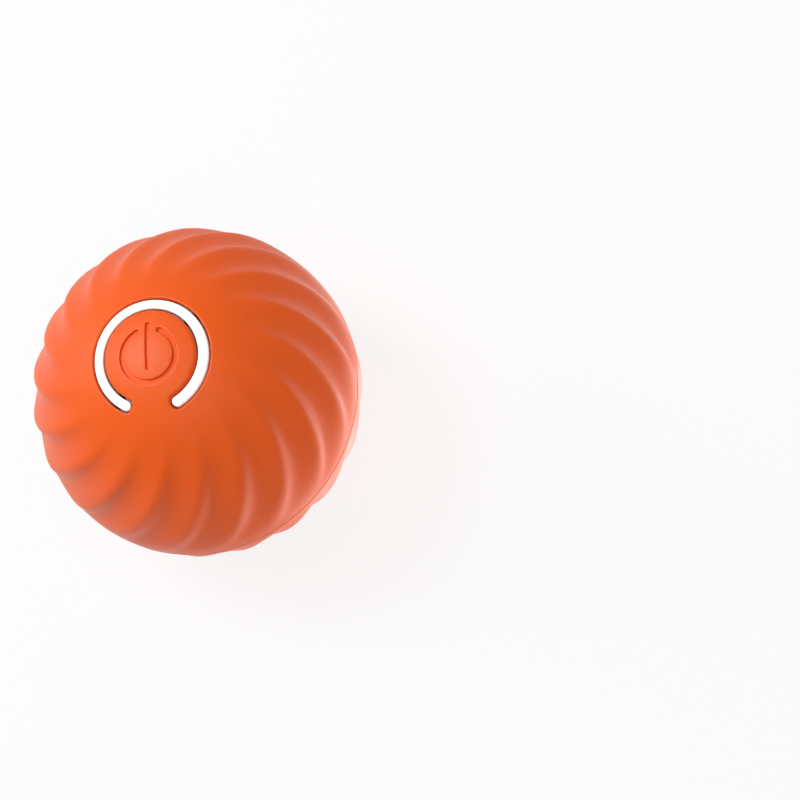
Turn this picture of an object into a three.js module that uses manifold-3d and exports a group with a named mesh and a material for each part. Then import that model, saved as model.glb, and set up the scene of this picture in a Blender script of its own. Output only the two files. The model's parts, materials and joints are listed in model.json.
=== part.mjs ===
// An automatic rolling ball for dogs, in millimetres, +Z up.
// It stands on the flat round its charging socket, with the power button on top.
// The soft ribbed cover sits on two rigid half shells. Inside them a motor turns an
// eccentric weight through three gear stages, and the swing of that weight rolls the ball.
// Directions round the ball are clock angles: clockwise from +Y, seen from the button.
import * as THREE from "three";
import { mergeVertices } from "three/addons/utils/BufferGeometryUtils.js";
import Module from "manifold-3d";

const wasm = await Module();
wasm.setup();

// Clearances
const gap = 0.3;
const pinPlay = 0.12;
const overrun = 1;
const weld = 0.0001;

// Ribbed cover
const ballDiameter = 50;
const ribCount = 18;
const ribDepth = 0.63;
const ribSinkShare = 0.42;
const ribPower = 2.4;
const ribLean = 0.27;
const ribTurnDeg = 49;
const ribTurnPower = 1.62;
const ribStartDeg = -0.7;
const ribFadeFromDeg = 26;
const ribFullDeg = 58;
const ribFallFromDeg = 70.5;
const capDrop = 0.52;
const seamDrop = 0.07;
const seamRiseFromDeg = 61.5;
const seamGap = 0.3;
const coverWall = 1.88;
const ballRadius = ballDiameter / 2;
const capRadius = ballRadius - capDrop;
const coverInnerRadius = capRadius - coverWall;

// Flat round the socket, on which the ball stands
const footRadius = 7.4;
const footSlopeWidth = 2.2;
const footWall = 1.3;
const footLevel = -(coverInnerRadius + footWall);

// Rigid shells
const shellWall = 1.9;
const shellRadius = coverInnerRadius - gap;
const cavityRadius = shellRadius - shellWall;
const sealWidth = 0.6;
const sealHeight = 1.2;
const sealPlay = 0.15;
const sealRadius = (shellRadius + cavityRadius) / 2;

// Button, its tongue and the light ring round it
const ringMidRadius = 7.8;
const ringWidth = 1.4;
const ringSink = 0.12;
const ringGapMiddleDeg = 181;
const ringGapDeg = 58;
const buttonWall = 1.3;
const ringOuterRadius = ringMidRadius + ringWidth / 2;
const ringInnerRadius = ringMidRadius - ringWidth / 2;
const openingRadius = ringOuterRadius + gap;
const buttonRadius = ringInnerRadius - gap;
const buttonInnerRadius = capRadius - buttonWall;
const iconRadius = 3.95;
const iconLine = 0.75;
const iconDepth = 0.3;
const iconGapDeg = 50;
const iconBarTop = 4.9;
const iconBarBottom = -2.2;

// Frame plate across the ball
const frameThickness = 1.6;
const frameRadius = cavityRadius - gap;
const towerInset = 1.9;
const towerRadius = 2.1;
const towerRing = cavityRadius - towerInset;
const towerDegs = [60, 180, 300];
const towerScrewSink = 4;
const bossRadius = 1.7;
const bossBoreTop = 4;

// Motor and battery on the frame
const motorRadius = 5.5;
const motorLength = 9;
const motorNoseRadius = 2;
const motorNoseLength = 1.2;
const shaftBite = 2.5;
const endCapLength = 2;
const endCapInset = 0.4;
const shaftRadius = 0.75;
const batteryRadius = 5;
const batteryLength = 25;
const saddleWidth = 1.6;
const saddleHeight = 2.6;
const strapWidth = 3;
const strapThickness = 0.8;

// Gears
const wheelDiameter = 14.4;
const wheelTeeth = 36;
const pinionTeeth = 12;
const gearModule = wheelDiameter / wheelTeeth;
const gearWidth = 1.3;
const gearGap = 0.3;
const toothAddendumShare = 0.85;
const toothDedendumShare = 1.2;
const toothPlay = 0.08;
const pressureDeg = 20;
const gearPinRadius = 0.75;
const gearHubWall = 0.65;
const axleRadius = 1;
const outputHubRadius = 3.6;
const coverPlateThickness = 1.2;
const coverPostRadius = 1.4;
const gearDistance = (gearModule * (wheelTeeth + pinionTeeth)) / 2;

// Eccentric weight under the gears
const weightBossRadius = 4.4;
const weightClearance = 2.2;
const weightSideDeg = 120;
const weightScrewBite = 2;
const weightScrewRadius = 0.45;
const weightScrewHeadRadius = 0.85;
const weightScrewHeadHeight = 0.6;
const clipThickness = 0.6;
const grooveDepth = 0.3;
const clipRadius = 2.2;

// Push switch
const switchWidth = 4.6;
const switchHeight = 2.2;
const switchFloor = 0.6;
const stemRadius = 1.1;
const stemTopRise = 1.2;
const stemSink = 1;

// Pin between the soft button and the switch
const plungerHeadRadius = 3;
const plungerHeadHeight = 0.5;
const plungerRadius = 1.6;

// Lamps and the legs of the light ring
const legRadius = 0.9;
const ledHeight = 0.8;
const ledWidth = 1.4;

// Boards, the flat cable and the charging socket
const boardThickness = 1;
const boardLift = 0.6;
const boardPostRadius = 1.3;
const boardPostDegs = [9, 93, 275];
const boardScrewBite = 4;
const chipWidth = 5;
const chipHeight = 1;
const sensorRadius = 1.8;
const sensorLength = 6;
const connectorDepth = 2.4;
const connectorWidth = 5;
const connectorHeight = 2.2;
const cableDeg = 30;
const cableWidth = 4;
const cableThickness = 0.7;
const chargeBoardThickness = 0.8;
const portWidth = 9;
const portHeight = 3.3;
const portLength = 5.8;
const portWall = 0.35;
const plugCapWidth = 11;
const plugCapHeight = 5.4;
const plugSink = 0.25;
const chargePostRadius = 1.5;
const chargeScrewBite = 1.4;
const portFloor = 1;
const portTongueThickness = 0.7;
const portTongueWidth = 6.6;
const portTongueSink = 1.6;
const plugNubLength = 1.2;

// Screws
const screwRadius = 0.7;
const screwHeadRadius = 1.2;
const screwHeadHeight = 0.8;

// Counts of facets
const sphereSides = 28;
const sphereRings = 12;
const capSides = 36;
const capRings = 30;
const roundSides = 16;
const smallSides = 8;
const endSteps = 4;
const iconSteps = 14;
const ringSteps = 24;
const cableSteps = 30;

const radians = THREE.MathUtils.degToRad;

// A point at a distance from the polar axis in a clock direction.
function clockPoint(radius, clockDeg) {
  const turn = radians(clockDeg);
  return new THREE.Vector2(radius * Math.sin(turn), radius * Math.cos(turn));
}

// Turns a geometry into a closed solid, with its faces outwards whichever way it was wound.
function solid(geometry) {
  const bare = geometry.index ? geometry.toNonIndexed() : geometry.clone();
  for (const name of Object.keys(bare.attributes)) {
    if (name !== "position") bare.deleteAttribute(name);
  }
  const merged = mergeVertices(bare, weld);
  const corners = merged.index.array;
  const kept = [];
  for (let i = 0; i < corners.length; i += 3) {
    const [a, b, c] = corners.slice(i, i + 3);
    if (a !== b && b !== c && c !== a) kept.push(a, b, c);
  }
  const vertProperties = merged.attributes.position.array;
  const made = new wasm.Manifold(
    new wasm.Mesh({ numProp: 3, vertProperties, triVerts: new Uint32Array(kept) }),
  );
  if (made.volume() > 0) return made;
  const flipped = new Uint32Array(kept);
  for (let i = 0; i < flipped.length; i += 3) {
    [flipped[i + 1], flipped[i + 2]] = [flipped[i + 2], flipped[i + 1]];
  }
  return new wasm.Manifold(new wasm.Mesh({ numProp: 3, vertProperties, triVerts: flipped }));
}

// Turns a solid back into a geometry for a mesh.
function shown(made) {
  const mesh = made.getMesh();
  const geometry = new THREE.BufferGeometry();
  geometry.setAttribute("position", new THREE.BufferAttribute(mesh.vertProperties, 3));
  geometry.setIndex(new THREE.BufferAttribute(mesh.triVerts, 1));
  geometry.computeVertexNormals();
  return geometry;
}

function joined(solids) {
  return solids.reduce((sum, piece) => sum.add(piece));
}

// Simple solids that stand on the polar direction
function rod(radius, low, high, sides = roundSides) {
  const geometry = new THREE.CylinderGeometry(radius, radius, high - low, sides);
  return solid(geometry.rotateX(Math.PI / 2).translate(0, 0, (low + high) / 2));
}

function rodAt(place, radius, low, high, sides = smallSides) {
  return rod(radius, low, high, sides).translate([place.x, place.y, 0]);
}

function block(width, length, low, high) {
  const geometry = new THREE.BoxGeometry(width, length, high - low);
  return solid(geometry.translate(0, 0, (low + high) / 2));
}

function ball(radius, sides = sphereSides, rings = sphereRings) {
  return solid(new THREE.SphereGeometry(radius, sides, rings).rotateX(Math.PI / 2));
}

function turned(profile, sides = roundSides) {
  const points = profile.map(([radius, level]) => new THREE.Vector2(radius, level));
  return solid(new THREE.LatheGeometry(points, sides).rotateX(Math.PI / 2));
}

function slab(points, low, high) {
  const settings = { depth: high - low, bevelEnabled: false };
  const geometry = new THREE.ExtrudeGeometry(new THREE.Shape(points), settings);
  return solid(geometry.translate(0, 0, low));
}

// Points on an arc from one angle to another, both ends included.
function arcPoints(centre, radius, fromAngle, toAngle, steps) {
  return Array.from({ length: steps + 1 }, (_, i) => {
    const angle = fromAngle + ((toAngle - fromAngle) * i) / steps;
    return new THREE.Vector2(
      centre.x + radius * Math.cos(angle),
      centre.y + radius * Math.sin(angle),
    );
  });
}

// An arc-shaped band with round ends, open by gapDeg round the clock direction middleDeg.
function bandOutline(midRadius, width, middleDeg, gapDeg, steps) {
  const origin = new THREE.Vector2(0, 0);
  const from = Math.PI / 2 - radians(middleDeg - gapDeg / 2);
  const to = from + 2 * Math.PI - radians(gapDeg);
  const ends = [to, from].map((angle) => arcPoints(origin, midRadius, angle, angle, 1)[0]);
  return [
    ...arcPoints(origin, midRadius + width / 2, from, to, steps),
    ...arcPoints(ends[0], width / 2, to, to + Math.PI, endSteps).slice(1, -1),
    ...arcPoints(origin, midRadius - width / 2, to, from, steps),
    ...arcPoints(ends[1], width / 2, from + Math.PI, from + 2 * Math.PI, endSteps).slice(1, -1),
  ];
}

// A slot outline with round ends, wide along X.
function slotOutline(width, height, steps = endSteps) {
  const reach = (width - height) / 2;
  const right = new THREE.Vector2(reach, 0);
  const left = new THREE.Vector2(-reach, 0);
  return [
    ...arcPoints(right, height / 2, -Math.PI / 2, Math.PI / 2, steps),
    ...arcPoints(left, height / 2, Math.PI / 2, (3 * Math.PI) / 2, steps),
  ];
}

// Materials
function paint(color, roughness, metalness = 0) {
  return new THREE.MeshStandardMaterial({ color, roughness, metalness });
}

const softOrange = paint(0xf0622d, 0.6);
const shellPlastic = paint(0xd9d6cf, 0.5);
const framePlastic = paint(0x34373b, 0.55);
const gearPlastic = paint(0xf1efe6, 0.4);
const lightPlastic = paint(0xffffff, 0.3);
const steel = paint(0xa9adb1, 0.35, 1);
const castMetal = paint(0x73777b, 0.5, 1);
const circuitBoard = paint(0x1f6b3d, 0.5);
const blackChip = paint(0x16181a, 0.5);
const cellWrap = paint(0x2b6fb3, 0.45);
const strapFabric = paint(0x202224, 0.8);
const cableSheath = paint(0x7a7d80, 0.6);
const softBlack = paint(0x2a2b2c, 0.8);

// Everything hangs in a group whose origin is the ball's centre.
const dogBall = new THREE.Group();
const centred = new THREE.Group();
centred.position.z = -footLevel;
dogBall.add(centred);

function addPiece(name, made, material, place = new THREE.Vector2(0, 0), turn = 0) {
  const mesh = new THREE.Mesh(shown(made), material);
  mesh.name = name;
  mesh.position.set(place.x, place.y, 0);
  mesh.rotation.z = turn;
  centred.add(mesh);
  return mesh;
}

// Ribs
// A rib's height over its turn, from 0 in the broad valley to 1 on the narrow ridge.
function ribHeight(turnShare) {
  const leaning = Math.PI * turnShare + ribLean * Math.sin(Math.PI * turnShare) ** 2;
  return Math.abs(Math.sin(leaning)) ** ribPower;
}

// How far the ribs have wound round the ball at a polar angle, on through both halves.
function ribSwirlDeg(polarDeg) {
  const wound = (deg) => (deg / 90) ** ribTurnPower;
  return ribTurnDeg * (polarDeg <= 90 ? wound(polarDeg) : 2 - wound(180 - polarDeg));
}

// How much of the rib there is at a polar angle, the same in both halves.
function ribStrength(polarDeg) {
  const fromPole = Math.min(polarDeg, 180 - polarDeg);
  const rise = THREE.MathUtils.smoothstep(fromPole, ribFadeFromDeg, ribFullDeg);
  return rise * (1 - THREE.MathUtils.smoothstep(fromPole, ribFallFromDeg, 90));
}

function coverRadius(polarDeg, turnShare) {
  const fromPole = Math.min(polarDeg, 180 - polarDeg);
  const seamRise = THREE.MathUtils.smoothstep(fromPole, seamRiseFromDeg, 90);
  const rib = ribDepth * ribStrength(polarDeg) * (ribHeight(turnShare) - ribSinkShare);
  return capRadius + (capDrop - seamDrop) * seamRise + rib;
}

// Polar angles of the rows of facets, from the pole to the seam.
const rowDegs = [0, 19, 28, 36, 44, 52, 60, 68, 76, 82, 86, 90];

// Places of the columns in a rib's turn, with one in the valley and one on the ridge.
const ribShares = [0, 0.15, 0.29, 0.42, 0.6, 0.8];

// One half of the cover as a full dome, with ribs that wind on from one half to the other.
function ribbedDome(upper) {
  const columns = ribCount * ribShares.length;
  const ribPitchDeg = 360 / ribCount;
  const side = upper ? 1 : -1;
  const vertices = [0, 0, side * capRadius];
  const faces = [];
  const rows = rowDegs.slice(1);
  for (const rowDeg of rows) {
    const polarDeg = upper ? rowDeg : 180 - rowDeg;
    const polar = radians(polarDeg);
    const spin = ribStartDeg + ribSwirlDeg(polarDeg);
    for (let column = 0; column < columns; column += 1) {
      const share = ribShares[column % ribShares.length];
      const rib = Math.floor(column / ribShares.length);
      const radius = coverRadius(polarDeg, share);
      const flat = clockPoint(radius * Math.sin(polar), spin + ribPitchDeg * (rib + share));
      const level = rowDeg === 90 ? (side * seamGap) / 2 : radius * Math.cos(polar);
      vertices.push(flat.x, flat.y, level);
    }
  }
  const at = (row, column) => 1 + row * columns + (column % columns);
  for (let column = 0; column < columns; column += 1) {
    faces.push(0, at(0, column), at(0, column + 1));
    for (let row = 0; row + 1 < rows.length; row += 1) {
      const [a, b] = [at(row, column), at(row, column + 1)];
      const [c, d] = [at(row + 1, column), at(row + 1, column + 1)];
      faces.push(a, c, b, b, c, d);
    }
  }
  const rimCentre = vertices.length / 3;
  vertices.push(0, 0, (side * seamGap) / 2);
  for (let column = 0; column < columns; column += 1) {
    faces.push(rimCentre, at(rows.length - 1, column + 1), at(rows.length - 1, column));
  }
  const geometry = new THREE.BufferGeometry();
  geometry.setAttribute("position", new THREE.Float32BufferAttribute(vertices, 3));
  geometry.setIndex(faces);
  return solid(geometry);
}

const hollow = ball(coverInnerRadius);
const farOut = ballRadius + overrun;

const frontOpening = rod(openingRadius, 0, farOut, capSides);
addPiece(
  "front_skin",
  ribbedDome(true).subtract(hollow).subtract(frontOpening),
  softOrange,
);

const slopeRadius = footRadius + footSlopeWidth;
const slopeLevel = -Math.sqrt(capRadius ** 2 - slopeRadius ** 2);
const foot = turned(
  [
    [0, footLevel],
    [footRadius, footLevel],
    [slopeRadius, slopeLevel],
    [slopeRadius, slopeLevel + gap],
    [0, slopeLevel + gap],
  ],
  capSides,
);
const belowFoot = rod(ballRadius, -farOut, footLevel, capSides);
const plugPocket = slab(
  slotOutline(plugCapWidth + 2 * gap, plugCapHeight + 2 * gap, smallSides),
  -farOut,
  0,
);
addPiece(
  "rear_skin",
  ribbedDome(false).add(foot).subtract(joined([hollow, plugPocket, belowFoot])),
  softOrange,
);

// Rigid shells with their rims grooved for the seal
const frameTop = 0;
const frameBottom = frameTop - frameThickness;
const bossTop = cavityRadius * Math.cos(Math.asin(towerRing / cavityRadius));

function halfShell(upper) {
  const reach = shellRadius + overrun;
  const [low, high] = upper ? [seamGap / 2, reach] : [-reach, -seamGap / 2];
  const grooveHalf = sealHeight / 2 + sealPlay;
  const groove = turned(
    [
      [sealRadius - sealWidth / 2 - sealPlay, -grooveHalf],
      [sealRadius + sealWidth / 2 + sealPlay, -grooveHalf],
      [sealRadius + sealWidth / 2 + sealPlay, grooveHalf],
      [sealRadius - sealWidth / 2 - sealPlay, grooveHalf],
      [sealRadius - sealWidth / 2 - sealPlay, -grooveHalf],
    ],
    sphereSides,
  );
  const half = ball(shellRadius).intersect(block(2 * reach, 2 * reach, low, high));
  return { half, groove, inside: ball(cavityRadius) };
}

// The seal between the rims
addPiece(
  "seal_ring",
  turned(
    [
      [sealRadius - sealWidth / 2, -sealHeight / 2],
      [sealRadius + sealWidth / 2, -sealHeight / 2],
      [sealRadius + sealWidth / 2, sealHeight / 2],
      [sealRadius - sealWidth / 2, sealHeight / 2],
      [sealRadius - sealWidth / 2, -sealHeight / 2],
    ],
    sphereSides,
  ),
  softBlack,
);

// Levels over the frame
const endCapTop = frameTop + motorLength + endCapLength;
const batteryLevel = frameTop + gap + batteryRadius;
const strapInner = batteryRadius + gap;
const strapOuter = strapInner + strapThickness;
const boardBottom = Math.max(endCapTop, batteryLevel + strapOuter) + boardLift;
const boardTop = boardBottom + boardThickness;
const boardRadius = Math.sqrt(cavityRadius ** 2 - boardTop ** 2) - gap;

// Push switch under the middle of the button
const switchTop = boardTop + switchHeight;
const stemTop = switchTop + stemTopRise;
const stemBottom = switchTop - stemSink;
addPiece(
  "switch_body",
  block(switchWidth, switchWidth, boardTop, switchTop).subtract(
    rod(stemRadius + gap, boardTop + switchFloor, switchTop + overrun, smallSides),
  ),
  blackChip,
);
addPiece("switch_stem", rod(stemRadius, stemBottom, stemTop, smallSides), gearPlastic);

// Pin between the soft button and the switch
const plungerTop = buttonInnerRadius - gap;
addPiece(
  "button_plunger",
  rod(plungerHeadRadius, plungerTop - plungerHeadHeight, plungerTop).add(
    rod(plungerRadius, stemTop + gap, plungerTop),
  ),
  gearPlastic,
);

// Soft button with its tongue and the sunk power symbol
const tongueTurn = Math.PI - radians(ringGapMiddleDeg);
const tongueWidth = 2 * ringMidRadius * Math.sin(radians(ringGapDeg / 2)) - ringWidth - 2 * gap;
const tongueReach = openingRadius - gap;
const tongueBlock = block(tongueWidth, 2 * tongueReach, 0, farOut)
  .translate([0, -tongueReach, 0])
  .rotate([0, 0, THREE.MathUtils.radToDeg(tongueTurn)]);
const buttonOutline = rod(buttonRadius, 0, farOut, capSides).add(
  rod(tongueReach, 0, farOut, capSides).intersect(tongueBlock),
);
const iconRing = slab(
  bandOutline(iconRadius, iconLine, 0, iconGapDeg, iconSteps),
  0,
  farOut,
);
const iconBar = slab(slotOutline(iconBarTop - iconBarBottom, iconLine), 0, farOut)
  .rotate([0, 0, 90])
  .translate([0, (iconBarTop + iconBarBottom) / 2, 0]);
const iconCutter = iconRing.add(iconBar).subtract(ball(capRadius - iconDepth, capSides, capRings));
addPiece(
  "power_button",
  buttonOutline
    .intersect(ball(capRadius, capSides, capRings))
    .subtract(ball(buttonInnerRadius, capSides, capRings))
    .subtract(iconCutter),
  softOrange,
);

// C-shaped light ring with four legs that take the light up from the board
const legDegs = [45, 135, 225, 315].map((deg) => ringGapMiddleDeg + 180 + deg);
const ringSlab = slab(
  bandOutline(ringMidRadius, ringWidth, ringGapMiddleDeg, ringGapDeg, ringSteps),
  0,
  farOut,
);
const ringFloorRadius = shellRadius + gap;
const ringLegTop = Math.sqrt(ringFloorRadius ** 2 - ringMidRadius ** 2) + gap;
const ringCap = ringSlab
  .intersect(ball(capRadius - ringSink, capSides, capRings))
  .subtract(ball(ringFloorRadius, capSides, capRings));
const ringLegs = legDegs.map((deg) =>
  rodAt(
    clockPoint(ringMidRadius, deg),
    Math.min(legRadius, ringWidth / 2),
    boardTop + ledHeight + gap,
    ringLegTop,
  ),
);
addPiece("light_ring", joined([ringCap, ...ringLegs]), lightPlastic);

legDegs.forEach((deg, i) => {
  const led = block(ledWidth, ledWidth, boardTop, boardTop + ledHeight);
  addPiece(`led_${i + 1}`, led, lightPlastic, clockPoint(ringMidRadius, deg));
});

// Where the motor, the gears and the battery are, seen from above
const axlePlace = new THREE.Vector2(0, 0);
const secondPlace = clockPoint(gearDistance, 90);
const firstPlace = clockPoint(gearDistance, 30);
const motorPlace = clockPoint(gearDistance, 330);
const batteryPlace = new THREE.Vector2(
  0,
  -(axleRadius + gap + gap + strapThickness + batteryRadius),
);

// Posts that carry the control board
const headTop = boardTop + screwHeadHeight;
const postRing = Math.sqrt(cavityRadius ** 2 - headTop ** 2) - screwHeadRadius - 2 * gap;
const boardPosts = boardPostDegs.map((deg) => clockPoint(postRing, deg));

// Flat cable along the wall, and the notch that lets it past the frame
const cableRadius = cavityRadius - gap - cableThickness;
const connectorRing = boardRadius - connectorDepth;
const cableTurn = Math.PI / 2 - radians(cableDeg);

// Levels under the frame: the gear layers from above, the socket from below, and the
// weight in the room between them
const layerStep = gearWidth + gearGap;
const layerTops = [0, 1, 2].map((i) => frameBottom - gearGap - i * layerStep);
const gearsBottom = layerTops[2] - gearWidth;
const plateTop = gearsBottom - gearGap - gap;
const plateBottom = plateTop - coverPlateThickness;
const weightTop = plateBottom - gap - gap;
const plugFace = footLevel + plugSink;
const plugCapTop = -shellRadius - pinPlay;
const portBottom = plugCapTop + pinPlay;
const chargeBoardBottom = portBottom + portLength;
const chargeBoardTop = chargeBoardBottom + chargeBoardThickness;
const axleBottom = chargeBoardTop + 2 * gap;
const clipTop = axleBottom + gap + clipThickness;
const weightBottom = clipTop + gap;
const weightThickness = weightTop - weightBottom;
const axleTop = frameTop + gap;

// Posts of the gear cover, clear of the gears
const plateRadius = towerRing - towerRadius - gap;
const coverPosts = [
  clockPoint(plateRadius - coverPostRadius, 310),
  clockPoint(plateRadius - coverPostRadius, 250),
  clockPoint(plateRadius - coverPostRadius, 135),
];

// A screw with its head's underside at the level 0 and its shank below.
function screw(length) {
  return turned(
    [
      [0, screwHeadHeight],
      [screwHeadRadius, screwHeadHeight],
      [screwHeadRadius, 0],
      [screwRadius, 0],
      [screwRadius, -length],
      [0, -length],
    ],
    smallSides,
  );
}

// The frame: a plate with board posts, battery saddles and holes for what it carries
function makeFrame() {
  const boreRadius = screwRadius + pinPlay;
  const plate = rod(frameRadius, frameBottom, frameTop, sphereSides);
  const posts = boardPosts.map((place) =>
    rodAt(place, boardPostRadius, frameBottom, boardBottom),
  );
  const saddleReach = batteryLength / 2 - 2 * saddleWidth;
  const saddles = [-1, 1].map((side) =>
    block(saddleWidth, 2 * batteryRadius, frameBottom, frameTop + saddleHeight).translate([
      side * saddleReach,
      batteryPlace.y,
      0,
    ]),
  );
  const cellRoom = rod(batteryRadius + gap, -batteryLength, batteryLength)
    .rotate([0, 90, 0])
    .translate([0, batteryPlace.y, batteryLevel]);
  const raised = joined([...posts, ...saddles]).subtract(cellRoom);
  const notch = block(cableWidth + 2 * gap, cavityRadius, frameBottom - gap, frameTop + gap)
    .translate([0, cavityRadius / 2 + cableRadius - cableThickness - gap, 0])
    .rotate([0, 0, -cableDeg]);
  const low = frameBottom - overrun;
  const holes = [
    notch,
    rod(axleRadius + pinPlay, low, frameTop + overrun, smallSides),
    rodAt(firstPlace, gearPinRadius + pinPlay, low, frameTop + overrun),
    rodAt(secondPlace, gearPinRadius + pinPlay, low, frameTop + overrun),
    rodAt(motorPlace, motorNoseRadius + gap, low, frameTop + overrun, roundSides),
    ...boardPosts.map((place) =>
      rodAt(place, boreRadius, boardBottom - boardScrewBite - gap, boardBottom + overrun),
    ),
    ...coverPosts.map((place) => rodAt(place, boreRadius, low, frameTop + overrun)),
    ...towerDegs.map((deg) =>
      rodAt(clockPoint(towerRing, deg), boreRadius + pinPlay, low, frameTop + overrun),
    ),
  ];
  return plate.add(raised).subtract(joined(holes));
}

addPiece("main_frame", makeFrame(), framePlastic);

// Control board and what is on it
const boardHoles = boardPosts.map((place) =>
  rodAt(place, screwRadius + gap, boardBottom - overrun, boardTop + overrun),
);
addPiece(
  "control_board",
  rod(boardRadius, boardBottom, boardTop, sphereSides).subtract(joined(boardHoles)),
  circuitBoard,
);
boardPosts.forEach((place, i) => {
  const made = screw(boardThickness + boardScrewBite).translate([0, 0, boardTop]);
  addPiece(`board_screw_${i + 1}`, made, steel, place);
});

const chipLamp = clockPoint(ringMidRadius, legDegs[2]);
const chipPlace = new THREE.Vector2(
  chipLamp.x - (ledWidth + chipWidth) / 2 - gap,
  chipLamp.y + (chipWidth - ledWidth) / 2,
);
addPiece(
  "main_chip",
  block(chipWidth, chipWidth, boardTop, boardTop + chipHeight),
  blackChip,
  chipPlace,
);

const sensorPlace = new THREE.Vector2(motorRadius, sensorRadius);
addPiece(
  "vibration_sensor",
  rod(sensorRadius, boardBottom - sensorLength, boardBottom, smallSides),
  steel,
  sensorPlace,
);
addPiece(
  "board_connector",
  block(connectorWidth, connectorDepth, boardBottom - connectorHeight, boardBottom),
  lightPlastic,
  clockPoint(connectorRing, cableDeg),
  -radians(cableDeg),
);

// Motor, with its shaft running down through the frame to the first gear layer
const noseBottom = frameTop - motorNoseLength;
const shaftBore = rod(shaftRadius + pinPlay, noseBottom - overrun, shaftBite + gap, smallSides);
addPiece(
  "motor_can",
  rod(motorRadius, frameTop, frameTop + motorLength)
    .add(rod(motorNoseRadius, noseBottom, frameTop + gap))
    .subtract(shaftBore),
  steel,
  motorPlace,
);
addPiece(
  "motor_end_cap",
  rod(motorRadius - endCapInset, frameTop + motorLength, endCapTop),
  blackChip,
  motorPlace,
);
const pinionBottom = layerTops[0] - gearWidth;
addPiece(
  "motor_shaft",
  rod(shaftRadius, pinionBottom - gap, frameTop + shaftBite, smallSides),
  steel,
  motorPlace,
);

// Battery lying in its saddles, and the strap over it
addPiece(
  "battery",
  rod(batteryRadius, -batteryLength / 2, batteryLength / 2)
    .rotate([0, 90, 0])
    .translate([0, 0, batteryLevel]),
  cellWrap,
  batteryPlace,
);
const strapLegs = block(strapWidth, 2 * strapOuter, frameTop, batteryLevel);
const strapArch = rod(strapOuter, -strapWidth / 2, strapWidth / 2)
  .rotate([0, 90, 0])
  .translate([0, 0, batteryLevel]);
const strapRoom = rod(strapInner, -strapWidth, strapWidth)
  .rotate([0, 90, 0])
  .translate([0, 0, batteryLevel]);
const strapFloor = block(2 * strapWidth, 2 * strapInner, frameTop - overrun, batteryLevel);
addPiece(
  "battery_strap",
  strapLegs
    .add(strapArch)
    .subtract(strapRoom)
    .subtract(strapFloor)
    .intersect(block(strapWidth, 2 * strapOuter + gap, frameTop, batteryLevel + strapOuter + gap)),
  strapFabric,
  batteryPlace,
);

// Gear teeth: involute flanks, thinned by half the play on each side
function involute(angle) {
  return Math.tan(angle) - angle;
}

function gearOutline(teeth, turnAngle) {
  const pitchRadius = (gearModule * teeth) / 2;
  const baseRadius = pitchRadius * Math.cos(radians(pressureDeg));
  const tipRadius = pitchRadius + gearModule * toothAddendumShare;
  const rootRadius = pitchRadius - gearModule * toothDedendumShare;
  const halfTooth = Math.PI / (2 * teeth) - toothPlay / (2 * pitchRadius);
  const halfAngleAt = (radius) => {
    const rolled = Math.acos(Math.min(1, baseRadius / radius));
    return halfTooth + involute(radians(pressureDeg)) - involute(rolled);
  };
  const rings = [rootRadius, tipRadius];
  const points = [];
  for (let tooth = 0; tooth < teeth; tooth += 1) {
    const middle = turnAngle + (2 * Math.PI * tooth) / teeth;
    const rising = rings.map((radius) => [radius, middle - halfAngleAt(radius)]);
    const falling = rings.map((radius) => [radius, middle + halfAngleAt(radius)]).reverse();
    for (const [radius, angle] of [...rising, ...falling]) {
      points.push(new THREE.Vector2(radius * Math.cos(angle), radius * Math.sin(angle)));
    }
  }
  return points;
}

// The turn that puts a tooth on the line to a neighbour, and the one that puts a gap there.
function directionTo(from, to) {
  return Math.atan2(to.y - from.y, to.x - from.x);
}

function gapTurn(from, to, teeth) {
  return directionTo(from, to) + Math.PI / teeth;
}

// A large and a small toothed wheel on one hub, with the large one in the upper layer.
function steppedGear(layer, wheelTurn, pinionTurn) {
  const wheelTop = layerTops[layer];
  const pinionTop = layerTops[layer + 1];
  const hubTop = frameBottom - pinPlay;
  const hubBottom = plateTop + pinPlay;
  const hub = rod(gearPinRadius + gearHubWall, hubBottom, hubTop, smallSides);
  const wheel = slab(gearOutline(wheelTeeth, wheelTurn), wheelTop - gearWidth, wheelTop);
  const pinion = slab(
    gearOutline(pinionTeeth, pinionTurn),
    pinionTop - gearWidth,
    wheelTop - gearWidth / 2,
  );
  const bore = rod(gearPinRadius + pinPlay, hubBottom - overrun, hubTop + overrun, smallSides);
  return joined([hub, wheel, pinion]).subtract(bore);
}

const drivePinion = slab(
  gearOutline(pinionTeeth, directionTo(motorPlace, firstPlace)),
  pinionBottom,
  layerTops[0],
).subtract(rod(shaftRadius + pinPlay, pinionBottom - overrun, frameTop, smallSides));
addPiece("drive_pinion", drivePinion, steel, motorPlace);
addPiece(
  "first_gear",
  steppedGear(
    0,
    gapTurn(firstPlace, motorPlace, wheelTeeth),
    directionTo(firstPlace, secondPlace),
  ),
  gearPlastic,
  firstPlace,
);
addPiece(
  "second_gear",
  steppedGear(
    1,
    gapTurn(secondPlace, firstPlace, wheelTeeth),
    directionTo(secondPlace, axlePlace),
  ),
  gearPlastic,
  secondPlace,
);
const gearPin = rod(gearPinRadius, plateBottom + gap, frameTop, smallSides);
addPiece("first_gear_pin", gearPin, steel, firstPlace);
addPiece("second_gear_pin", gearPin, steel, secondPlace);

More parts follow.
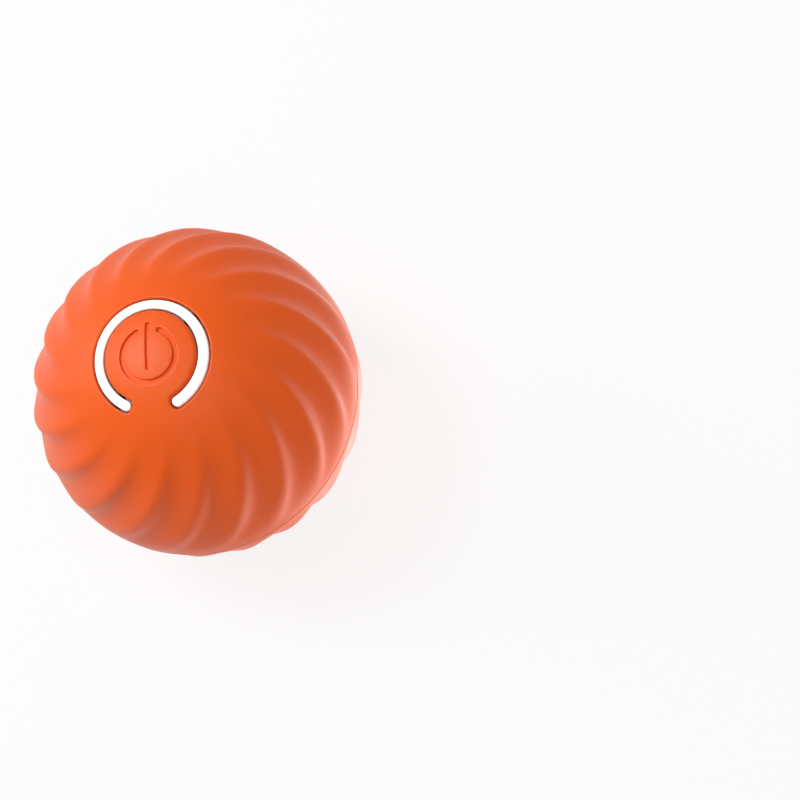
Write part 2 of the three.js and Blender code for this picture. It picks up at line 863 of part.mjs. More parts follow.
// Output gear, whose hub comes down through the gear cover to the weight
const outputTop = layerTops[2];
const outputBore = rod(
  axleRadius + pinPlay,
  weightTop - overrun,
  frameBottom + overrun,
  smallSides,
);
const weightScrewReach = (axleRadius + outputHubRadius) / 2;
const weightScrewPlaces = [90, 270].map((deg) =>
  clockPoint(weightScrewReach, weightSideDeg + deg),
);
const weightScrewBores = joined(
  weightScrewPlaces.map((place) =>
    rodAt(
      place,
      weightScrewRadius + pinPlay,
      weightBottom - overrun,
      weightTop + weightScrewBite + gap,
    ),
  ),
);
addPiece(
  "output_gear",
  slab(
    gearOutline(wheelTeeth, gapTurn(axlePlace, secondPlace, wheelTeeth)),
    outputTop - gearWidth,
    outputTop,
  )
    .add(rod(axleRadius + gearHubWall, outputTop - gearWidth / 2, frameBottom - pinPlay, smallSides))
    .add(rod(outputHubRadius, weightTop, outputTop - gearWidth / 2))
    .subtract(outputBore)
    .subtract(weightScrewBores),
  gearPlastic,
);

// Main axle and the clip under the weight
addPiece(
  "main_axle",
  turned(
    [
      [0, axleBottom],
      [axleRadius, axleBottom],
      [axleRadius, clipTop - clipThickness - pinPlay],
      [axleRadius - grooveDepth, clipTop - clipThickness - pinPlay],
      [axleRadius - grooveDepth, clipTop + pinPlay],
      [axleRadius, clipTop + pinPlay],
      [axleRadius, axleTop],
      [0, axleTop],
    ],
    smallSides,
  ),
  steel,
);
const clipRoom = axleRadius - grooveDepth + pinPlay;
addPiece(
  "axle_clip",
  rod(clipRadius, clipTop - clipThickness, clipTop)
    .subtract(rod(clipRoom, clipTop - overrun, clipTop + overrun, smallSides))
    .subtract(
      block(2 * clipRoom, clipRadius + overrun, clipTop - overrun, clipTop + overrun).translate([
        0,
        -(clipRadius + overrun) / 2,
        0,
      ]),
    ),
  steel,
);

// Gear cover: a plate with posts up to the frame
const coverPlateHoles = [
  rod(outputHubRadius + gap, plateBottom - overrun, plateTop + overrun),
  ...coverPosts.map((place) =>
    rodAt(place, screwRadius + pinPlay, plateBottom - overrun, frameBottom + overrun),
  ),
  ...coverPosts.map((place) =>
    rodAt(
      place,
      screwHeadRadius + pinPlay,
      plateBottom - overrun,
      plateBottom + screwHeadHeight + pinPlay,
    ),
  ),
  rodAt(firstPlace, gearPinRadius + pinPlay, plateBottom - overrun, plateTop + overrun),
  rodAt(secondPlace, gearPinRadius + pinPlay, plateBottom - overrun, plateTop + overrun),
];
const coverPostRods = coverPosts.map((place) =>
  rodAt(place, coverPostRadius, plateBottom, frameBottom, smallSides),
);
addPiece(
  "gear_cover",
  joined([rod(plateRadius, plateBottom, plateTop, sphereSides), ...coverPostRods]).subtract(
    joined(coverPlateHoles),
  ),
  framePlastic,
);
coverPosts.forEach((place, i) => {
  const length = frameTop - plateBottom - screwHeadHeight - gap - pinPlay;
  const made = screw(length)
    .rotate([180, 0, 0])
    .translate([0, 0, plateBottom + screwHeadHeight]);
  addPiece(`cover_screw_${i + 1}`, made, steel, place);
});

// Eccentric weight: half of a disc whose edge follows the shell
const weightRadiusAt = (level) =>
  Math.sqrt((cavityRadius - weightClearance) ** 2 - level ** 2);
const weightProfile = [
  [0, weightBottom],
  [weightRadiusAt(weightBottom), weightBottom],
  [weightRadiusAt((weightTop + weightBottom) / 2), (weightTop + weightBottom) / 2],
  [weightRadiusAt(weightTop), weightTop],
  [0, weightTop],
];
const weightReach = cavityRadius;
const weightHalf = turned(weightProfile, sphereSides).intersect(
  block(2 * weightReach, weightReach, weightBottom, weightTop)
    .translate([0, weightReach / 2, 0])
    .rotate([0, 0, -weightSideDeg]),
);
const weightHeadRoom = joined(
  weightScrewPlaces.map((place) =>
    rodAt(
      place,
      weightScrewHeadRadius + pinPlay,
      weightBottom - overrun,
      weightBottom + weightScrewHeadHeight + pinPlay,
    ),
  ),
);
addPiece(
  "eccentric_weight",
  weightHalf
    .add(rod(weightBossRadius, weightBottom, weightTop))
    .subtract(rod(axleRadius + pinPlay, weightBottom - overrun, weightTop + overrun, smallSides))
    .subtract(weightScrewBores)
    .subtract(weightHeadRoom),
  castMetal,
);
weightScrewPlaces.forEach((place, i) => {
  const length = weightThickness - weightScrewHeadHeight + weightScrewBite;
  const made = turned(
    [
      [0, -weightScrewHeadHeight],
      [weightScrewHeadRadius, -weightScrewHeadHeight],
      [weightScrewHeadRadius, 0],
      [weightScrewRadius, 0],
      [weightScrewRadius, length],
      [0, length],
    ],
    smallSides,
  ).translate([0, 0, weightBottom + weightScrewHeadHeight]);
  addPiece(`weight_screw_${i + 1}`, made, steel, place);
});

// Charging board and socket at the rear pole
const chargeBoardRadius = Math.sqrt(cavityRadius ** 2 - chargeBoardBottom ** 2) - gap - cableThickness;
const chargePosts = [0, 180].map((deg) =>
  clockPoint(chargeBoardRadius - chargePostRadius - gap, deg),
);
const chargeHoles = chargePosts.map((place) =>
  rodAt(place, screwRadius + gap, chargeBoardBottom - overrun, chargeBoardTop + overrun),
);
addPiece(
  "charge_board",
  rod(chargeBoardRadius, chargeBoardBottom, chargeBoardTop).subtract(joined(chargeHoles)),
  circuitBoard,
);
chargePosts.forEach((place, i) => {
  const made = screw(chargeBoardThickness + chargeScrewBite).translate([0, 0, chargeBoardTop]);
  addPiece(`charge_screw_${i + 1}`, made, steel, place);
});

const portRoom = slab(
  slotOutline(portWidth - 2 * portWall, portHeight - 2 * portWall),
  portBottom - overrun,
  chargeBoardBottom - portFloor,
);
const portTongue = block(
  portTongueWidth,
  portTongueThickness,
  portBottom + portTongueSink,
  chargeBoardBottom - portFloor / 2,
);
addPiece(
  "charge_port",
  slab(slotOutline(portWidth, portHeight), portBottom, chargeBoardBottom)
    .subtract(portRoom)
    .add(portTongue),
  steel,
);

// Soft plug in the socket
addPiece(
  "port_plug",
  slab(slotOutline(plugCapWidth, plugCapHeight), plugFace, plugCapTop).add(
    slab(
      slotOutline(portWidth - 2 * portWall - 2 * gap, portHeight - 2 * portWall - 2 * gap),
      plugFace,
      portBottom + plugNubLength,
    ),
  ),
  softBlack,
);

// Flat cable from the connector, down along the wall, to the edge of the charging board
function cablePath() {
  const start = connectorRing + connectorDepth / 2 + gap;
  const startLevel = boardBottom - connectorHeight / 2;
  const endReach = chargeBoardRadius + gap;
  const endLevel = (chargeBoardTop + chargeBoardBottom) / 2;
  const wallDegs = [66, 78, 90, 102, 114, 126, 136];
  const wall = wallDegs.map((deg) => {
    const polar = radians(deg);
    return new THREE.Vector3(cableRadius * Math.sin(polar), 0, cableRadius * Math.cos(polar));
  });
  return new THREE.CatmullRomCurve3([
    new THREE.Vector3(start, 0, startLevel),
    ...wall,
    new THREE.Vector3(endReach, 0, endLevel),
  ]);
}

const cableSection = new THREE.Shape(
  [
    [-1, -1],
    [1, -1],
    [1, 1],
    [-1, 1],
  ].map(([x, y]) => new THREE.Vector2((x * cableWidth) / 2, (y * cableThickness) / 2)),
);
const cable = new THREE.ExtrudeGeometry(cableSection, {
  steps: cableSteps,
  extrudePath: cablePath(),
});
addPiece("wire_harness", solid(cable), cableSheath, axlePlace, cableTurn);

// Front shell: bosses for the shell screws, and holes for the plunger and the ring's legs
const front = halfShell(true);
const bossRods = towerDegs.map((deg) =>
  rodAt(clockPoint(towerRing, deg), bossRadius, frameTop, bossTop, roundSides).intersect(
    ball(shellRadius - shellWall / 2),
  ),
);
const frontHoles = [
  rod(plungerHeadRadius + gap, switchTop, farOut),
  ...legDegs.map((deg) =>
    rodAt(clockPoint(ringMidRadius, deg), legRadius + gap, boardTop, farOut),
  ),
  ...towerDegs.map((deg) =>
    rodAt(clockPoint(towerRing, deg), screwRadius + pinPlay, -overrun, bossBoreTop + gap),
  ),
];
addPiece(
  "front_shell",
  front.half
    .subtract(front.inside)
    .subtract(front.groove)
    .add(joined(bossRods))
    .subtract(joined(frontHoles)),
  shellPlastic,
);

// Rear shell: screw towers, posts for the charging board, and the socket's hole
const screwSeat = frameBottom - towerScrewSink;
const rear = halfShell(false);
const towerRoom = ball(shellRadius).intersect(
  rod(cavityRadius, -shellRadius, frameBottom, sphereSides),
);
const towerRods = towerDegs.map((deg) =>
  rodAt(clockPoint(towerRing, deg), towerRadius, -shellRadius, frameBottom, roundSides).intersect(
    towerRoom,
  ),
);
const chargePostRods = chargePosts.map((place) =>
  rodAt(place, chargePostRadius, -cavityRadius, chargeBoardBottom).intersect(
    ball(shellRadius - shellWall / 2),
  ),
);
const rearHoles = [
  slab(slotOutline(portWidth + 2 * gap, portHeight + 2 * gap), -farOut, chargeBoardBottom),
  ...chargePosts.map((place) =>
    rodAt(
      place,
      screwRadius + pinPlay,
      chargeBoardBottom - chargeScrewBite - gap,
      chargeBoardBottom + overrun,
    ),
  ),
  ...towerDegs.map((deg) =>
    rodAt(clockPoint(towerRing, deg), screwRadius + 2 * pinPlay, -farOut, overrun),
  ),
  ...towerDegs.map((deg) =>
    rodAt(clockPoint(towerRing, deg), screwHeadRadius + 2 * pinPlay, -farOut, screwSeat),
  ),
];
addPiece(
  "rear_shell",
  rear.half
    .subtract(rear.inside)
    .subtract(rear.groove)
    .add(joined(towerRods))
    .add(joined(chargePostRods))
    .subtract(joined(rearHoles)),
  shellPlastic,
);
towerDegs.forEach((deg, i) => {
  const made = screw(bossBoreTop - screwSeat)
    .rotate([180, 0, 0])
    .translate([0, 0, screwSeat]);
  addPiece(`shell_screw_${i + 1}`, made, steel, clockPoint(towerRing, deg));
});

export default dogBall;
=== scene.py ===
# %% [markdown]
# # An automatic rolling dog ball
# The ball is a soft ribbed cover over two rigid half shells, with a power button inside a
# C-shaped light ring at one pole and a charging socket at the other. Inside, a motor turns
# an eccentric weight. The frame holds every rigid piece at its real place. This lesson
# gives the soft and visible pieces their real surface, and every piece its finish.

import json
import math

import bpy
from mathutils import Matrix, Quaternion, Vector

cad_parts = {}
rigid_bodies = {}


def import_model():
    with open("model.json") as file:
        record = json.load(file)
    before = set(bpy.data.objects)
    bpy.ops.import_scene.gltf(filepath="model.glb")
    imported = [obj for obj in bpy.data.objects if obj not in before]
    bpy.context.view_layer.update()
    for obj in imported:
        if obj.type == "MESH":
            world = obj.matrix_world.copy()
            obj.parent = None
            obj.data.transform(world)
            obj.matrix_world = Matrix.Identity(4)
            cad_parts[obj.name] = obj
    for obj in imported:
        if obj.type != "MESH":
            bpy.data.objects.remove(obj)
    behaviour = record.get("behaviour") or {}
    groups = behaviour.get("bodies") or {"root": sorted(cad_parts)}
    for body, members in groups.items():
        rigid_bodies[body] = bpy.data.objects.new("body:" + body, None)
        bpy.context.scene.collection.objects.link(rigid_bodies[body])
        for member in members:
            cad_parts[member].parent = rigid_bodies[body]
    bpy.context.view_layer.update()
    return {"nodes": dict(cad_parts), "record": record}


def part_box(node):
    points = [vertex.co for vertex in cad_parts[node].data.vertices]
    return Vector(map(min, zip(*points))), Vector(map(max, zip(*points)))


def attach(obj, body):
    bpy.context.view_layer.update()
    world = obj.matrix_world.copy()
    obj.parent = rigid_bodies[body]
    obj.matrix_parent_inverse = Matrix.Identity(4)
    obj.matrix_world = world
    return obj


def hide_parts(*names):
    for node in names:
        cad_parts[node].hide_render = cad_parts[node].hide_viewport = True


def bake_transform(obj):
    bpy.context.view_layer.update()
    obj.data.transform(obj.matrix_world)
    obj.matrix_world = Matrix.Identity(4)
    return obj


for stray in list(bpy.data.objects):
    bpy.data.objects.remove(stray)
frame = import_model()
nodes = frame["nodes"]
print("pieces in the frame:", len(nodes))

# %% [markdown]
# ## Sizes
# Lengths are in metres, and MM makes them readable. What the frame already knows is read
# from the boxes of its pieces: the ball's centre is the middle of the seal between the two
# shells. The rest are the cover's own sizes. They are the frame's, but the hollows between
# the ribs are a little deeper here, so that the light shades them, and the seam is a little
# tighter. Directions round the polar axis are clock angles, clockwise from +Y, as one reads
# the power symbol from above.

# %% Driving sizes
MM = 0.001
seal_low, seal_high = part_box("seal_ring")
centre_height = (seal_low.z + seal_high.z) / 2
ball_radius = 25 * MM
rib_count = 18
rib_depth = 0.8 * MM
rib_sink_share = 0.54
rib_power = 2.4
rib_lean = 0.27
rib_turn, rib_turn_power = 49, 1.62
rib_start = -0.7
rib_fade_from, rib_full, rib_fall_from = 26, 58, 70.5
cap_drop = 0.52 * MM
seam_drop = 0.07 * MM
seam_rise_from = 61.5
seam_gap = 0.16 * MM
cover_wall = 1.88 * MM
cap_radius = ball_radius - cap_drop
inner_radius = cap_radius - cover_wall
ring_radius = 7.8 * MM
ring_width = 1.4 * MM
ring_gap_middle = 181
ring_gap = 58
clearance = 0.3 * MM
print(f"centre at {centre_height / MM:.2f} mm, plain radius {cap_radius / MM:.2f} mm")

# %% [markdown]
# ## Working with operators
# Operators act on all that is selected, so each step starts from nothing selected. Faces
# and edges are then picked by their place, as one would click them. Pieces are modelled
# round the ball's centre, where every formula is short, and are stood on the foot at the end.

# %% Helpers for selecting and shaping
weld = 0.002 * MM
on_plane = weld / 10


def only(piece):
    """Leaves edit mode and makes a piece the one selected object."""
    if bpy.context.object and bpy.context.object.mode == "EDIT":
        bpy.ops.object.mode_set(mode="OBJECT")
    bpy.ops.object.select_all(action="DESELECT")
    piece.select_set(True)
    bpy.context.view_layer.objects.active = piece
    return piece


def clear_selection():
    """Leaves edit mode with nothing selected, before a primitive is added."""
    if bpy.context.object and bpy.context.object.mode == "EDIT":
        bpy.ops.object.mode_set(mode="OBJECT")
    bpy.ops.object.select_all(action="DESELECT")


def named(name):
    """Names the primitive just added and puts its place into its mesh."""
    piece = bpy.context.object
    piece.name = piece.data.name = name
    bpy.ops.object.transform_apply(location=True, rotation=True, scale=True)
    return piece


def pick(piece, kind, wanted):
    """Opens a piece in edit mode with the elements selected whose corners all pass a test."""
    only(piece)
    bpy.ops.object.mode_set(mode="EDIT")
    bpy.ops.mesh.select_mode(type=kind)
    bpy.ops.mesh.select_all(action="DESELECT")
    bpy.ops.object.mode_set(mode="OBJECT")
    mesh = piece.data
    passed = [wanted(v.co) for v in mesh.vertices]
    if kind == "VERT":
        mesh.vertices.foreach_set("select", passed)
    else:
        elements = mesh.edges if kind == "EDGE" else mesh.polygons
        for element in elements:
            element.select = all(passed[i] for i in element.vertices)
    bpy.ops.object.mode_set(mode="EDIT")


def pick_all(piece):
    """Opens a piece in edit mode with everything selected."""
    only(piece)
    bpy.ops.object.mode_set(mode="EDIT")
    bpy.ops.mesh.select_mode(type="VERT")
    bpy.ops.mesh.select_all(action="SELECT")


def draw_out(rise, spread=1.0):
    """Extrudes what is selected, up by rise, and scales it round the polar axis."""
    bpy.ops.mesh.extrude_region_move(TRANSFORM_OT_translate={"value": (0, 0, rise)})
    if spread != 1.0:
        bpy.ops.transform.resize(value=(spread, spread, 1), center_override=(0, 0, 0))


def spin_round(degrees, steps):
    """Spins what is selected clockwise round the polar axis."""
    bpy.ops.mesh.spin(steps=steps, angle=math.radians(degrees), center=(0, 0, 0), axis=(0, 0, 1))


def round_edges(width, steps):
    """Bevels the selected edges."""
    bpy.ops.mesh.bevel(offset=width, segments=steps, affect="EDGES", clamp_overlap=False)


def apply_modifier(piece, kind, **settings):
    """Adds a modifier with its settings and applies it at once."""
    only(piece)
    modifier = piece.modifiers.new(kind.lower(), kind)
    for key, value in settings.items():
        setattr(modifier, key, value)
    bpy.ops.object.modifier_apply(modifier=modifier.name)


def copy_of(piece, name):
    """A copy of a piece with its own mesh."""
    twin = piece.copy()
    twin.data = piece.data.copy()
    twin.name = twin.data.name = name
    bpy.context.scene.collection.objects.link(twin)
    return twin


def cut(piece, place, normal, drop_side=None):
    """Cuts a piece by a plane. drop_side is outer, inner or None, seen along the normal."""
    pick_all(piece)
    bpy.ops.mesh.bisect(
        plane_co=place,
        plane_no=normal,
        threshold=on_plane,
        clear_outer=drop_side == "outer",
        clear_inner=drop_side == "inner",
    )
    bpy.ops.object.mode_set(mode="OBJECT")


def merged(pieces, name):
    """Joins several objects into one, welds what touches and turns all faces outwards."""
    only(pieces[0])
    for piece in pieces:
        piece.select_set(True)
    bpy.ops.object.join()
    return tidy_faces(named(name))


def tidy_faces(piece):
    """Welds doubled vertices and turns all faces outwards."""
    pick_all(piece)
    bpy.ops.mesh.remove_doubles(threshold=weld)
    bpy.ops.mesh.normals_make_consistent(inside=False)
    bpy.ops.object.mode_set(mode="OBJECT")
    return piece


def plan_radius(point):
    """Distance of a point from the polar axis."""
    return math.hypot(point.x, point.y)


def clock_point(radius, clock, height=0.0):
    """A point at a distance from the polar axis in a clock direction."""
    turn = math.radians(clock)
    return Vector((radius * math.sin(turn), radius * math.cos(turn), height))


def clock_of(point):
    """The clock angle of a point, from 0 to 360."""
    return math.degrees(math.atan2(point.x, point.y)) % 360


def ball_height(radius, ball=cap_radius):
    """Height of a ball's surface over its middle, at a distance from the polar axis."""
    return math.sqrt(max(ball**2 - radius**2, 0.0))


def smooth(low, high, value):
    """0 below low, 1 above high, and a soft step between."""
    share = min(max((value - low) / (high - low), 0.0), 1.0)
    return share * share * (3 - 2 * share)


def faces(piece):
    """Prints how large a mesh is, and returns it."""
    piece.data.calc_loop_triangles()
    print(piece.name, "triangles:", len(piece.data.loop_triangles))
    return piece


print("helpers are ready")

# %% [markdown]
# ## Camera
# The product stands in the left half of a white picture, seen from above the button and
# a little from its side. A long lens 13.5 ball radii away gives the near side the slight
# swelling that the picture shows. The camera is turned, and not shifted, so that the ball
# lands where it is in the frame.

# %% Camera
picture_side = 800
ball_pixel_x, ball_pixel_y = 198.38, 392.27
outline_pixel_radius = 163.78
distance_in_radii = 13.5
view_clock, view_rise, view_roll = 130.64, 68.48, -1.96
rise = math.radians(view_rise)
to_camera = clock_point(math.cos(rise), view_clock, math.sin(rise))
picture_right = Vector((0, 1, 0)).cross(to_camera).normalized()
picture_right.rotate(Quaternion(to_camera, math.radians(view_roll)))
picture_up = to_camera.cross(picture_right)
ball_centre = Vector((0, 0, centre_height))
focal_pixels = outline_pixel_radius * math.sqrt(distance_in_radii**2 - 1)

camera_data = bpy.data.cameras.new("camera")
camera = bpy.data.objects.new("camera", camera_data)
bpy.context.scene.collection.objects.link(camera)
camera_data.sensor_width = 36
camera_data.lens = camera_data.sensor_width * focal_pixels / picture_side
facing = Matrix((picture_right, picture_up, to_camera)).transposed()
ball_ray = Vector(
    (
        (ball_pixel_x - picture_side / 2) / focal_pixels,
        (picture_side / 2 - ball_pixel_y) / focal_pixels,
        -1,
    )
)
aside = ball_ray.rotation_difference(Vector((0, 0, -1))).to_matrix()
place = Matrix.Translation(ball_centre + distance_in_radii * ball_radius * to_camera)
camera.matrix_world = place @ (facing @ aside).to_4x4()
camera_data.clip_start = 1 * MM
bpy.context.scene.camera = camera
print(f"lens {camera_data.lens:.1f} mm")

# %% [markdown]
# ## Ribbed cover
# The real cover is moulded in two halves, and its 18 ribs wind from one pole to the other.
# They are flutes more than ribs: narrow ridges that lean a little, with broad hollows
# between them. A plain ball gets a height for each vertex and a displacement swells it.
# The ribs wind faster and faster towards the seam, by a power of the polar angle. No
# modifier turns by a power, so the columns of vertices are turned row by row, and the
# mesh follows each ridge. Up to where the ribs begin, the columns stay straight.

# %% Wind and swell the ball
columns_per_rib = 24
columns = columns_per_rib * rib_count
rings = 180
rib_pitch = 360 / rib_count
lowest_radius = cap_radius - rib_sink_share * rib_depth
relief = ball_radius - lowest_radius


def rib_swirl(polar):
    """How far the ribs have wound at a polar angle, on through both halves."""
    wound = (min(polar, 180 - polar) / 90) ** rib_turn_power
    return rib_turn * (wound if polar <= 90 else 2 - wound)


def column_swirl(polar):
    """How far a column of vertices is turned: as a rib is, but only between its ends."""
    held = min(max(polar, rib_fade_from), 180 - rib_fade_from)
    return rib_swirl(held) - rib_swirl(rib_fade_from)


def rib_strength(polar):
    """How much of a rib there is at a polar angle, the same over both halves."""
    from_pole = min(polar, 180 - polar)
    return smooth(rib_fade_from, rib_full, from_pole) * (1 - smooth(rib_fall_from, 90, from_pole))


def cover_height(polar, turn_share):
    """The cover's height over its lowest radius, at a polar angle and a share of a rib."""
    leaning = math.pi * turn_share + rib_lean * math.sin(math.pi * turn_share) ** 2
    ridge = abs(math.sin(leaning)) ** rib_power - rib_sink_share
    seam_rise = (cap_drop - seam_drop) * smooth(seam_rise_from, 90, min(polar, 180 - polar))
    return cap_radius - lowest_radius + seam_rise + rib_depth * rib_strength(polar) * ridge


clear_selection()
bpy.ops.mesh.primitive_uv_sphere_add(segments=columns, ring_count=rings, radius=lowest_radius)
cover = named("cover")
heights = cover.vertex_groups.new(name="heights")
for vertex in cover.data.vertices:
    polar = math.degrees(math.acos(max(-1, min(1, vertex.co.z / lowest_radius))))
    turn_share = (clock_of(vertex.co) - rib_start - rib_swirl(rib_fade_from)) / rib_pitch
    heights.add([vertex.index], cover_height(polar, turn_share) / relief, "REPLACE")
    turned = clock_of(vertex.co) + column_swirl(polar)
    vertex.co = clock_point(plan_radius(vertex.co), turned, vertex.co.z)
apply_modifier(cover, "DISPLACE", vertex_group="heights", mid_level=0, strength=relief)
faces(cover)

# %% [markdown]
# ## Front half
# The front half ends at the seam in a small round rim, and opens round the button. The
# button's tongue is moulded in one with the cover on the real ball, so the opening has a
# bay there, and the button's own piece reaches out into the bay and fills it flush. The
# lip round the light ring is soft, and so it is bevelled, but the bay's edges stay sharp:
# there the two pieces have to read as one skin.

# %% Rims, inner walls and the opening
opening_polar = 21
opening_radius = cap_radius * math.sin(math.radians(opening_polar))
bay_radius = cap_radius * math.sin(math.radians(rib_fade_from))
bay_margin = 3.5
rim_round, rim_steps = 0.08 * MM, 3
lip_round, lip_steps = 0.38 * MM, 5
opening_wall = 1.6 * MM
mouth_margin = 0.5 * MM
front_mouth_radius = bay_radius + mouth_margin
wall_columns, wall_rings = 108, 60
seam_level = seam_gap / 2
seam_radius = ball_radius - seam_drop
touch = 0.01 * MM
column_slack = 0.1


def column_clock(clock):
    """The clock angle of the column of vertices nearest to a clock angle, near the pole."""
    pitch = 360 / columns
    return pitch * round(clock / pitch)


bay_start = column_clock(ring_gap_middle - ring_gap / 2 - bay_margin)
bay_end = column_clock(ring_gap_middle + ring_gap / 2 + bay_margin)


def in_bay(point):
    """Whether a point lies in the bay's sector."""
    return bay_start - column_slack < clock_of(point) < bay_end + column_slack


def pick_open(piece, wanted):
    """Opens a piece in edit mode with its open edges selected whose ends pass a test."""
    only(piece)
    bpy.ops.object.mode_set(mode="EDIT")
    bpy.ops.mesh.select_mode(type="EDGE")
    bpy.ops.mesh.select_all(action="DESELECT")
    bpy.ops.mesh.select_non_manifold(extend=False)
    bpy.ops.object.mode_set(mode="OBJECT")
    mesh = piece.data
    passed = [wanted(v.co) for v in mesh.vertices]
    for edge in mesh.edges:
        edge.select = edge.select and all(passed[i] for i in edge.vertices)
    bpy.ops.object.mode_set(mode="EDIT")


def draw_profile(profile):
    """Extrudes the selected loop through a list of (radius, height) pairs."""
    for (radius, height), (next_radius, next_height) in zip(profile, profile[1:]):
        draw_out(next_height - height, next_radius / radius)


def half_of(name, side):
    """One half of the cover, cut near the seam, with its rim rolled in. side is 1 or -1."""
    half = copy_of(cover, name)
    start = seam_level + rim_round
    cut(half, (0, 0, side * start), (0, 0, side), "inner")
    pick_open(half, lambda p: abs(p.z - side * start) < touch)
    angles = [math.pi / 2 * i / rim_steps for i in range(rim_steps + 1)]
    draw_profile(
        [
            (seam_radius - rim_round * (1 - math.cos(a)), side * (start - rim_round * math.sin(a)))
            for a in angles
        ]
    )
    bpy.ops.object.mode_set(mode="OBJECT")
    return half


def close_wall(half, side, mouth_radius):
    """Joins the inner wall to a half, and bridges the two at the seam and at the mouth."""
    clear_selection()
    bpy.ops.mesh.primitive_uv_sphere_add(
        segments=wall_columns, ring_count=wall_rings, radius=inner_radius
    )
    dome = named("inner_wall")
    cut(dome, (0, 0, side * seam_level), (0, 0, side), "inner")
    cut(dome, (0, 0, side * ball_height(mouth_radius, inner_radius)), (0, 0, side), "outer")
    only(half)
    dome.select_set(True)
    bpy.ops.object.join()
    pick_open(half, lambda p: abs(p.z - side * seam_level) < touch)
    bpy.ops.mesh.bridge_edge_loops()
    pick_open(half, lambda p: side * p.z > ball_radius / 2)
    bpy.ops.mesh.bridge_edge_loops()
    return tidy_faces(half)


front = half_of("front_cover", 1)


def opened(point):
    """Whether a point of the front half is in the opening or its bay."""
    reach = bay_radius if in_bay(point) else opening_radius
    return point.z > 0 and plan_radius(point) < reach + touch


pick(front, "FACE", opened)
bpy.ops.mesh.delete(type="FACE")
pick_open(front, lambda p: p.z > ball_radius / 2)
draw_out(-opening_wall)
lip_height = ball_height(opening_radius)
pick(
    front,
    "EDGE",
    lambda p: abs(plan_radius(p) - opening_radius) < touch and abs(p.z - lip_height) < touch,
)
round_edges(lip_round, lip_steps)
close_wall(front, 1, front_mouth_radius)
faces(front)

# %% [markdown]
# ## Bands with round ends
# The light ring, the slot round it and the ring of the power symbol are the same shape at
# three sizes: a C-shaped band with round ends. A curve with a bevel profile could make it,
# but its ends stay square. Here each end is half of a short post, and the cut face of one
# half post is spun round the pole until it meets the other.

# %% Helpers for bands, slots and cuts
post_sides, bar_sides, edge_steps = 32, 48, 4
degrees_per_step = 2


def half_post(middle, clock, radius, top, bottom, side, edge_round):
    """Half of a short post, cut by the plane through the pole. side is 1 clockwise."""
    clear_selection()
    bpy.ops.mesh.primitive_cylinder_add(
        vertices=post_sides,
        radius=radius,
        depth=top - bottom,
        location=clock_point(middle, clock, (top + bottom) / 2),
        rotation=(0, 0, -math.radians(clock)),
    )
    post = named("post")
    if edge_round:
        pick(post, "EDGE", lambda p: abs(p.z - top) < touch)
        round_edges(edge_round, edge_steps)
    cut(post, (0, 0, 0), side * clock_point(1, clock + 90), "inner")
    return post


def c_band(name, middle, half_width, start, end, top, bottom, edge_round=0.0):
    """A band that runs clockwise from one clock angle to another, with round ends."""
    first = half_post(middle, start, half_width, top, bottom, -1, edge_round)
    last = half_post(middle, end, half_width, top, bottom, 1, edge_round)
    pick_open(first, lambda p: True)
    spin_round(end - start, round((end - start) / degrees_per_step))
    bpy.ops.object.mode_set(mode="OBJECT")
    return merged([first, last], name)


def slot_bar(name, length, width, top, bottom, along="X"):
    """A bar with round ends, lying along X or Y."""
    clear_selection()
    bpy.ops.mesh.primitive_cylinder_add(
        vertices=bar_sides,
        radius=width / 2,
        depth=top - bottom,
        location=(0, 0, (top + bottom) / 2),
    )
    bar = named(name)
    way = Vector((1, 0, 0)) if along == "X" else Vector((0, 1, 0))
    for side in (1, -1):
        pick(bar, "VERT", lambda p: side * p.dot(way) > touch)
        bpy.ops.transform.translate(value=side * (length - width) / 2 * way)
    bpy.ops.object.mode_set(mode="OBJECT")
    return bar


def sector(name, inner, outer, start, end, top, bottom):
    """A ring's sector from one clock angle clockwise to another, in steps of a degree."""
    clear_selection()
    bpy.ops.mesh.primitive_plane_add(
        size=1,
        location=clock_point((inner + outer) / 2, start, (top + bottom) / 2),
        rotation=(math.pi / 2, 0, math.radians(90 - start)),
    )
    bpy.context.object.scale = (outer - inner, top - bottom, 1)
    piece = named(name)
    pick_all(piece)
    spin_round(end - start, round(end - start))
    bpy.ops.object.mode_set(mode="OBJECT")
    return tidy_faces(piece)


def combine(piece, other, operation):
    """Cuts another piece out of this one, or adds it, and deletes the other."""
    apply_modifier(piece, "BOOLEAN", operation=operation, object=other, solver="EXACT")
    bpy.data.objects.remove(other)
    return piece


def band_distance(point, middle, start, end):
    """Distance, seen from above, from a point to the middle line of a band."""
    turned = start + (clock_of(point) - start) % 360
    if turned <= end:
        return abs(plan_radius(point) - middle)
    flat = Vector((point.x, point.y, 0))
    return min((flat - clock_point(middle, tip)).length for tip in (start, end))


def lay_on_ball(piece):
    """Drops a piece that was modelled flat onto the plain ball, point by point."""
    for vertex in piece.data.vertices:
        vertex.co.z += ball_height(plan_radius(vertex.co))
    return piece


print("band helpers are ready")

# %% [markdown]
# ## Button, tongue and power symbol
# The button is a disc in one with its tongue and the patch that fills the cover's bay. It
# is easiest to cut while it is flat: the slot and the symbol are cut out of a plate, their
# edges are bevelled, and a grid of cuts gives the plate enough points to follow the ball
# when it is laid on it. Carving the curved surface directly would leave ragged edges.

# %% Cut the plate, the slot and the symbol
ring_start = ring_gap_middle + ring_gap / 2
ring_end = ring_gap_middle - ring_gap / 2 + 360
slot_half_width = ring_width / 2 + clearance
button_wall = 1.3 * MM
above, below = 1 * MM, -4 * MM
icon_radius, icon_line, icon_depth = 3.95 * MM, 0.75 * MM, 0.42 * MM
icon_gap = 50
icon_bar_top, icon_bar_bottom = 4.9 * MM, -2.2 * MM
icon_round, icon_steps = 0.05 * MM, 2
grid_step = 0.4 * MM

